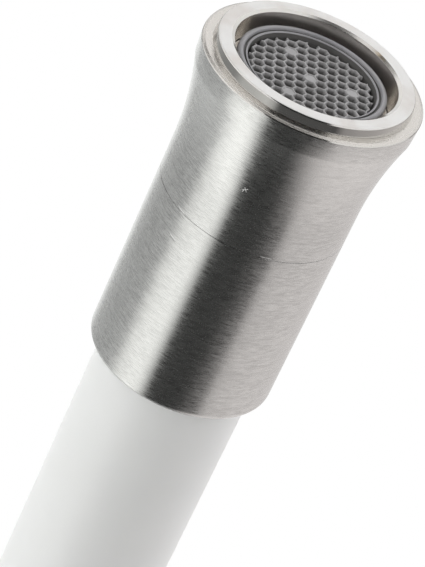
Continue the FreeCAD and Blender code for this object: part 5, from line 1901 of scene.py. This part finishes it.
@dataclass(frozen=True)
class Studio:
    """A pale floor, soft lamps and a surround of light and dark cards that only the object sees."""

    camera_side: Vector
    outlet: Place
    floor_height: float = -92.2
    floor_size: float = 40.0
    floor_colour: Colour = (0.88, 0.88, 0.88)
    lean_degrees: float = 26.0
    upright_at: float = 0.55
    horizon: float = 0.12
    low_share: float = 0.37
    low_heights: Step = (0.1, 0.5)
    high_heights: Step = (0.53, 0.72)
    roof: float = 0.55
    roof_heights: Step = (0.93, 0.99)
    brightest: float = max(max(card.middle, card.high) for card in CARDS)
    floor_fade: Step = (0.5, 3.0)
    dark_card_glow: float = 0.03
    dark_card_half: float = 0.1
    dark_card_spread: Step = (0.35, 0.75)
    dark_card_edge: Step = (0.02, 0.08)
    dark_card_behind: float = 0.065
    lamp_size: float = 1.2
    lamp_aim: Place = (0.0, -0.1, 0.2)

    def build(self) -> None:
        """Makes the world, the floor and the lamps."""
        self._world()
        self._floor()
        for lamp in LAMPS:
            self._lamp(lamp)

    @property
    def right(self) -> Vector:
        """Gives the level direction to the camera's right."""
        return self.camera_side.cross(UP)

    def _sides(self, x: Value, y: Value) -> list[Value]:
        """Gives how far a place is towards the camera and to its right."""
        return [x * side.x + y * side.y for side in (self.camera_side, self.right)]

    def _world(self) -> None:
        """Makes the surround: white to the camera, and light and dark cards to the object."""
        world = bpy.data.worlds.new("studio")
        bpy.context.scene.world = world
        tree = Shader(world)
        way = tree.out("ShaderNodeTexCoord", {}, "Generated")
        x, y, height = tree.xyz(way)
        ahead, aside = self._sides(x, y)
        lean = tree.maths("MAXIMUM", height - self.upright_at, 0.0) * (self.lean_degrees / 360)
        share = tree.maths("ARCTAN2", aside, ahead) / FULL_TURN + 0.5 + lean
        middle = self._ring(tree, share, [card.middle for card in CARDS])
        high = self._ring(tree, share, [card.high for card in CARDS])
        seen = tree.mix(tree.ramp(height, *self.high_heights), middle, high)
        low = tree.ramp(height, *self.low_heights, self.low_share, 1.0)
        dimmed = tree.mix(low, scaled(WHITE, self.horizon / self.brightest), seen)
        roof = scaled(WHITE, self.roof / self.brightest)
        whole = tree.mix(tree.ramp(height, *self.roof_heights), dimmed, roof)
        card_light = tree.out("ShaderNodeBackground", {"Color": whole, "Strength": self.brightest})
        white = tree.out("ShaderNodeBackground", {"Color": (*WHITE, 1.0), "Strength": 1.0})
        to_camera = tree.out("ShaderNodeLightPath", {}, "Is Camera Ray")
        tree.node("ShaderNodeOutputWorld", {"Surface": tree.mix_shaders(to_camera, card_light, white)})

    def _ring(self, tree: Shader, share: Value, strengths: Sequence[float]) -> Value:
        """Gives the cards' colours round the tap, at one height."""
        stops = []
        for card, strength in zip(CARDS, strengths):
            stops.append((card.bearing / 360 + 0.5, scaled(card.colour, strength / self.brightest)))
        return tree.out("ShaderNodeValToRGB", {0: share}, stops=stops)

    def _floor(self) -> None:
        """Makes the floor, which fades to the white surround far from the tap."""
        half = self.floor_size / 2
        height = self.floor_height * MM
        mesh = bpy.data.meshes.new("floor")
        corners = [(-half, -half, height), (half, -half, height), (half, half, height), (-half, half, height)]
        mesh.from_pydata(corners, [], [(0, 1, 2, 3)])
        material = bpy.data.materials.new("floor")
        self._floor_paint(Shader(material))
        mesh.materials.append(material)
        new_object("floor", mesh)

    def _floor_paint(self, tree: Shader) -> None:
        """Paints the floor pale, with a dark card near the tap that the camera doesn't see."""
        here = tree.place()
        x, y, _ = tree.xyz(here)
        away = tree.ramp(tree.reach(x, y), *self.floor_fade)
        colour = tree.mix(tree.noise(here, 30.0), self.floor_colour, scaled(self.floor_colour, 0.985))
        paint = tree.principled({"Base Color": colour, "Roughness": 0.75})
        glow = tree.out("ShaderNodeEmission", {"Color": (*WHITE, 1.0), "Strength": 1.0})
        dark = tree.out("ShaderNodeEmission", {"Color": (*WHITE, 1.0), "Strength": self.dark_card_glow})
        path = tree.node("ShaderNodeLightPath")
        kinds = ("Camera", "Glossy", "Transmission", "Diffuse")
        rays = (Value(tree, path.outputs[f"Is {kind} Ray"]) for kind in kinds)
        to_camera, to_gloss, to_glass, to_dull = rays
        direct = tree.maths("MINIMUM", to_camera + to_gloss + to_glass, 1.0)
        shine = tree.mix_shaders(away * direct, paint, glow)
        dark_here = self._dark_card(tree, x, y) * (1 - to_camera) * (1 - to_dull * 0.4)
        far = tree.mix_shaders(dark_here, shine, dark)
        under = tree.out("ShaderNodeNewGeometry", {}, "Backfacing")
        whole = tree.mix_shaders(under, far, tree.out("ShaderNodeBsdfTransparent"))
        tree.node("ShaderNodeOutputMaterial", {"Surface": whole})

    def _dark_card(self, tree: Shader, x: Value, y: Value) -> Value:
        """Gives 1 on the dark card that lies on the floor, from under the outlet towards the camera."""
        under = Vector(self.outlet) * MM
        towards, aside = self._sides(x - under.x, y - under.y)
        ahead = tree.maths("MAXIMUM", towards, 0.0)
        half, (left, right), (edge, blur) = self.dark_card_half, self.dark_card_spread, self.dark_card_edge
        soft = edge + ahead * blur
        left_edge = -half - ahead * left
        right_edge = half + ahead * right
        inside = tree.maths("MINIMUM", (aside - left_edge) / soft, (right_edge - aside) / soft)
        inside = tree.maths("MINIMUM", inside, (towards + self.dark_card_behind) / edge)
        return tree.ramp(inside, 0.0, 1.0)

    def _lamp(self, lamp: Lamp) -> None:
        """Makes a soft round lamp that is aimed at the tap and isn't mirrored in it."""
        data = bpy.data.lights.new(lamp.name, "AREA")
        data.shape = "DISK"
        data.size = self.lamp_size
        data.energy = lamp.watts
        data.color = lamp.colour
        aim = Vector(self.lamp_aim)
        place = self.camera_side * lamp.ahead - self.right * lamp.left + Vector((0.0, aim.y, lamp.height))
        made = new_object(lamp.name, data)
        turn = (aim - place).to_track_quat("-Z", "Y").to_matrix().to_4x4()
        made.matrix_world = Matrix.Translation(place) @ turn
        made.visible_glossy = False


# Each has its bearing, height, length, lean, width and tone.
NOZZLE_SCRATCHES = tuple(Scratch(*row) for row in (
    (-38.4, 14.75, 1.2, 35.0, 0.13, 0.95),
    (-38.7, 14.75, 0.9, -50.0, 0.13, 0.95),
    (-37.6, 15.1, 0.5, 80.0, 0.13, 0.95),
    (13.0, 24.17, 6.0, 0.0, 0.15, 0.12),
    (-8.5, 24.0, 1.9, -8.0, 0.16, 0.95),
    (-20.5, 23.75, 1.3, -6.0, 0.14, 0.95),
    (-10.5, 28.45, 1.5, -8.0, 0.15, 0.95),
    (-11.0, 28.7, 1.3, -8.0, 0.12, 0.2),
    (-65.5, 24.0, 2.0, 0.0, 0.12, 0.9),
    (-95.5, 19.7, 0.7, 3.0, 0.1, 0.3),
    (-70.5, 2.3, 0.5, 40.0, 0.12, 0.95),
    (-9.8, 48.6, 0.5, -60.0, 0.15, 0.25),
))


def tap_finishes(mouth: Place, plug: Place) -> dict[str, Material]:
    """Builds every material.

    Args:
        mouth: The middle of the outlet, in millimetres.
        plug: The middle of the index plug, in millimetres.

    Returns:
        The materials by name.
    """
    nozzle = scaled(mouth, MM)
    crest = scaled((mouth[0], mouth[1], mouth[2] + Aerator.honeycomb_depth), MM)
    finishes = (
        BrushedSteel("brushed_nozzle", centre=nozzle, scratches=NOZZLE_SCRATCHES),
        BrushedSteel("brushed_steel"),
        BrushedSteel("brushed_rod"),
        BrushedSteel("brushed_across", axis=Axis.ACROSS, turn=0.0),
        PolishedSteel("polished_nozzle", centre=nozzle),
        PolishedSteel("turned_bore", nozzle, (0.66, 0.625, 0.58), 0.22, 0.12, 0.006),
        PolishedSteel("polished_dome"),
        SatinSteel("satin_face"),
        PolishedSteel("turned_shoulder", nozzle, (0.65, 0.625, 0.595), 0.27, 0.4, 0.03),
        SatinSilicone("white_silicone"),
        Moulded("grey_plastic", (0.35, 0.345, 0.365), (0.31, 0.31, 0.325), 0.36),
        # A much darker grey that paints the shade inside the cup
        Moulded("grey_painted_shade", (0.135, 0.132, 0.128), (0.11, 0.108, 0.105), 0.5),
        # Honeycomb grey with painted shade that darkens the cells with depth
        WebPlastic("grey_web", crest),
        Moulded("black_rubber", (0.028, 0.028, 0.028), (0.045, 0.043, 0.042), 0.62, grain_depth_mm=0.02),
        Moulded("white_plastic", (0.78, 0.78, 0.76), (0.72, 0.72, 0.70), 0.4),
        Moulded("white_ceramic", (0.86, 0.85, 0.82), (0.80, 0.79, 0.76), 0.16, grain_depth_mm=0.002),
        TurnedMetal("brass", (0.72, 0.53, 0.25), (0.55, 0.39, 0.19), 0.32),
        TurnedMetal("plain_steel", (0.56, 0.56, 0.55), (0.42, 0.42, 0.41), 0.38),
        ClearHose("clear_hose"),
        HotColdIndex("index_plastic", scaled(plug, MM)),
    )
    return {finish.name: finish.material() for finish in finishes}


def dress_cad_nodes(finishes: dict[str, Material]) -> None:
    """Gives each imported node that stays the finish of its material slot."""
    stand_ins = {"polished_steel": "polished_dome"}
    for row in frame["record"]["subparts"]:
        node = frame["nodes"][row["node"]]
        slot = row["material_slot"]
        finish = finishes[stand_ins.get(slot, slot)]
        if not node.material_slots:
            node.data.materials.append(finish)
        for place in node.material_slots:
            place.link = "OBJECT"
            place.material = finish


def main() -> None:
    """Builds the tap's looks, the studio and the camera."""
    logging.basicConfig(level=logging.INFO, format="%(name)s: %(message)s")
    low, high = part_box("aerator_shell")
    mouth = ((low.x + high.x) / 2 / MM, (low.y + high.y) / 2 / MM, low.z / MM)
    lever = SideLever()
    finishes = tap_finishes(mouth, (lever.plug_x, -lever.cap_radius, lever.height))
    dress_cad_nodes(finishes)
    workshop = Workshop(finishes)
    camera = PhotoCamera(mouth)
    camera.build()
    parts = (OutletNozzle(mouth), Aerator(mouth), BendableNeck(), SpoutFoot(), TapBody(), DeckFixing(), lever)
    for part in parts:
        LOG.info("building %s", type(part).__name__)
        part.build(workshop)
    Studio(camera.towards(), mouth).build()
    bpy.context.scene.view_settings.view_transform = "Standard"


if __name__ == "__main__":
    main()
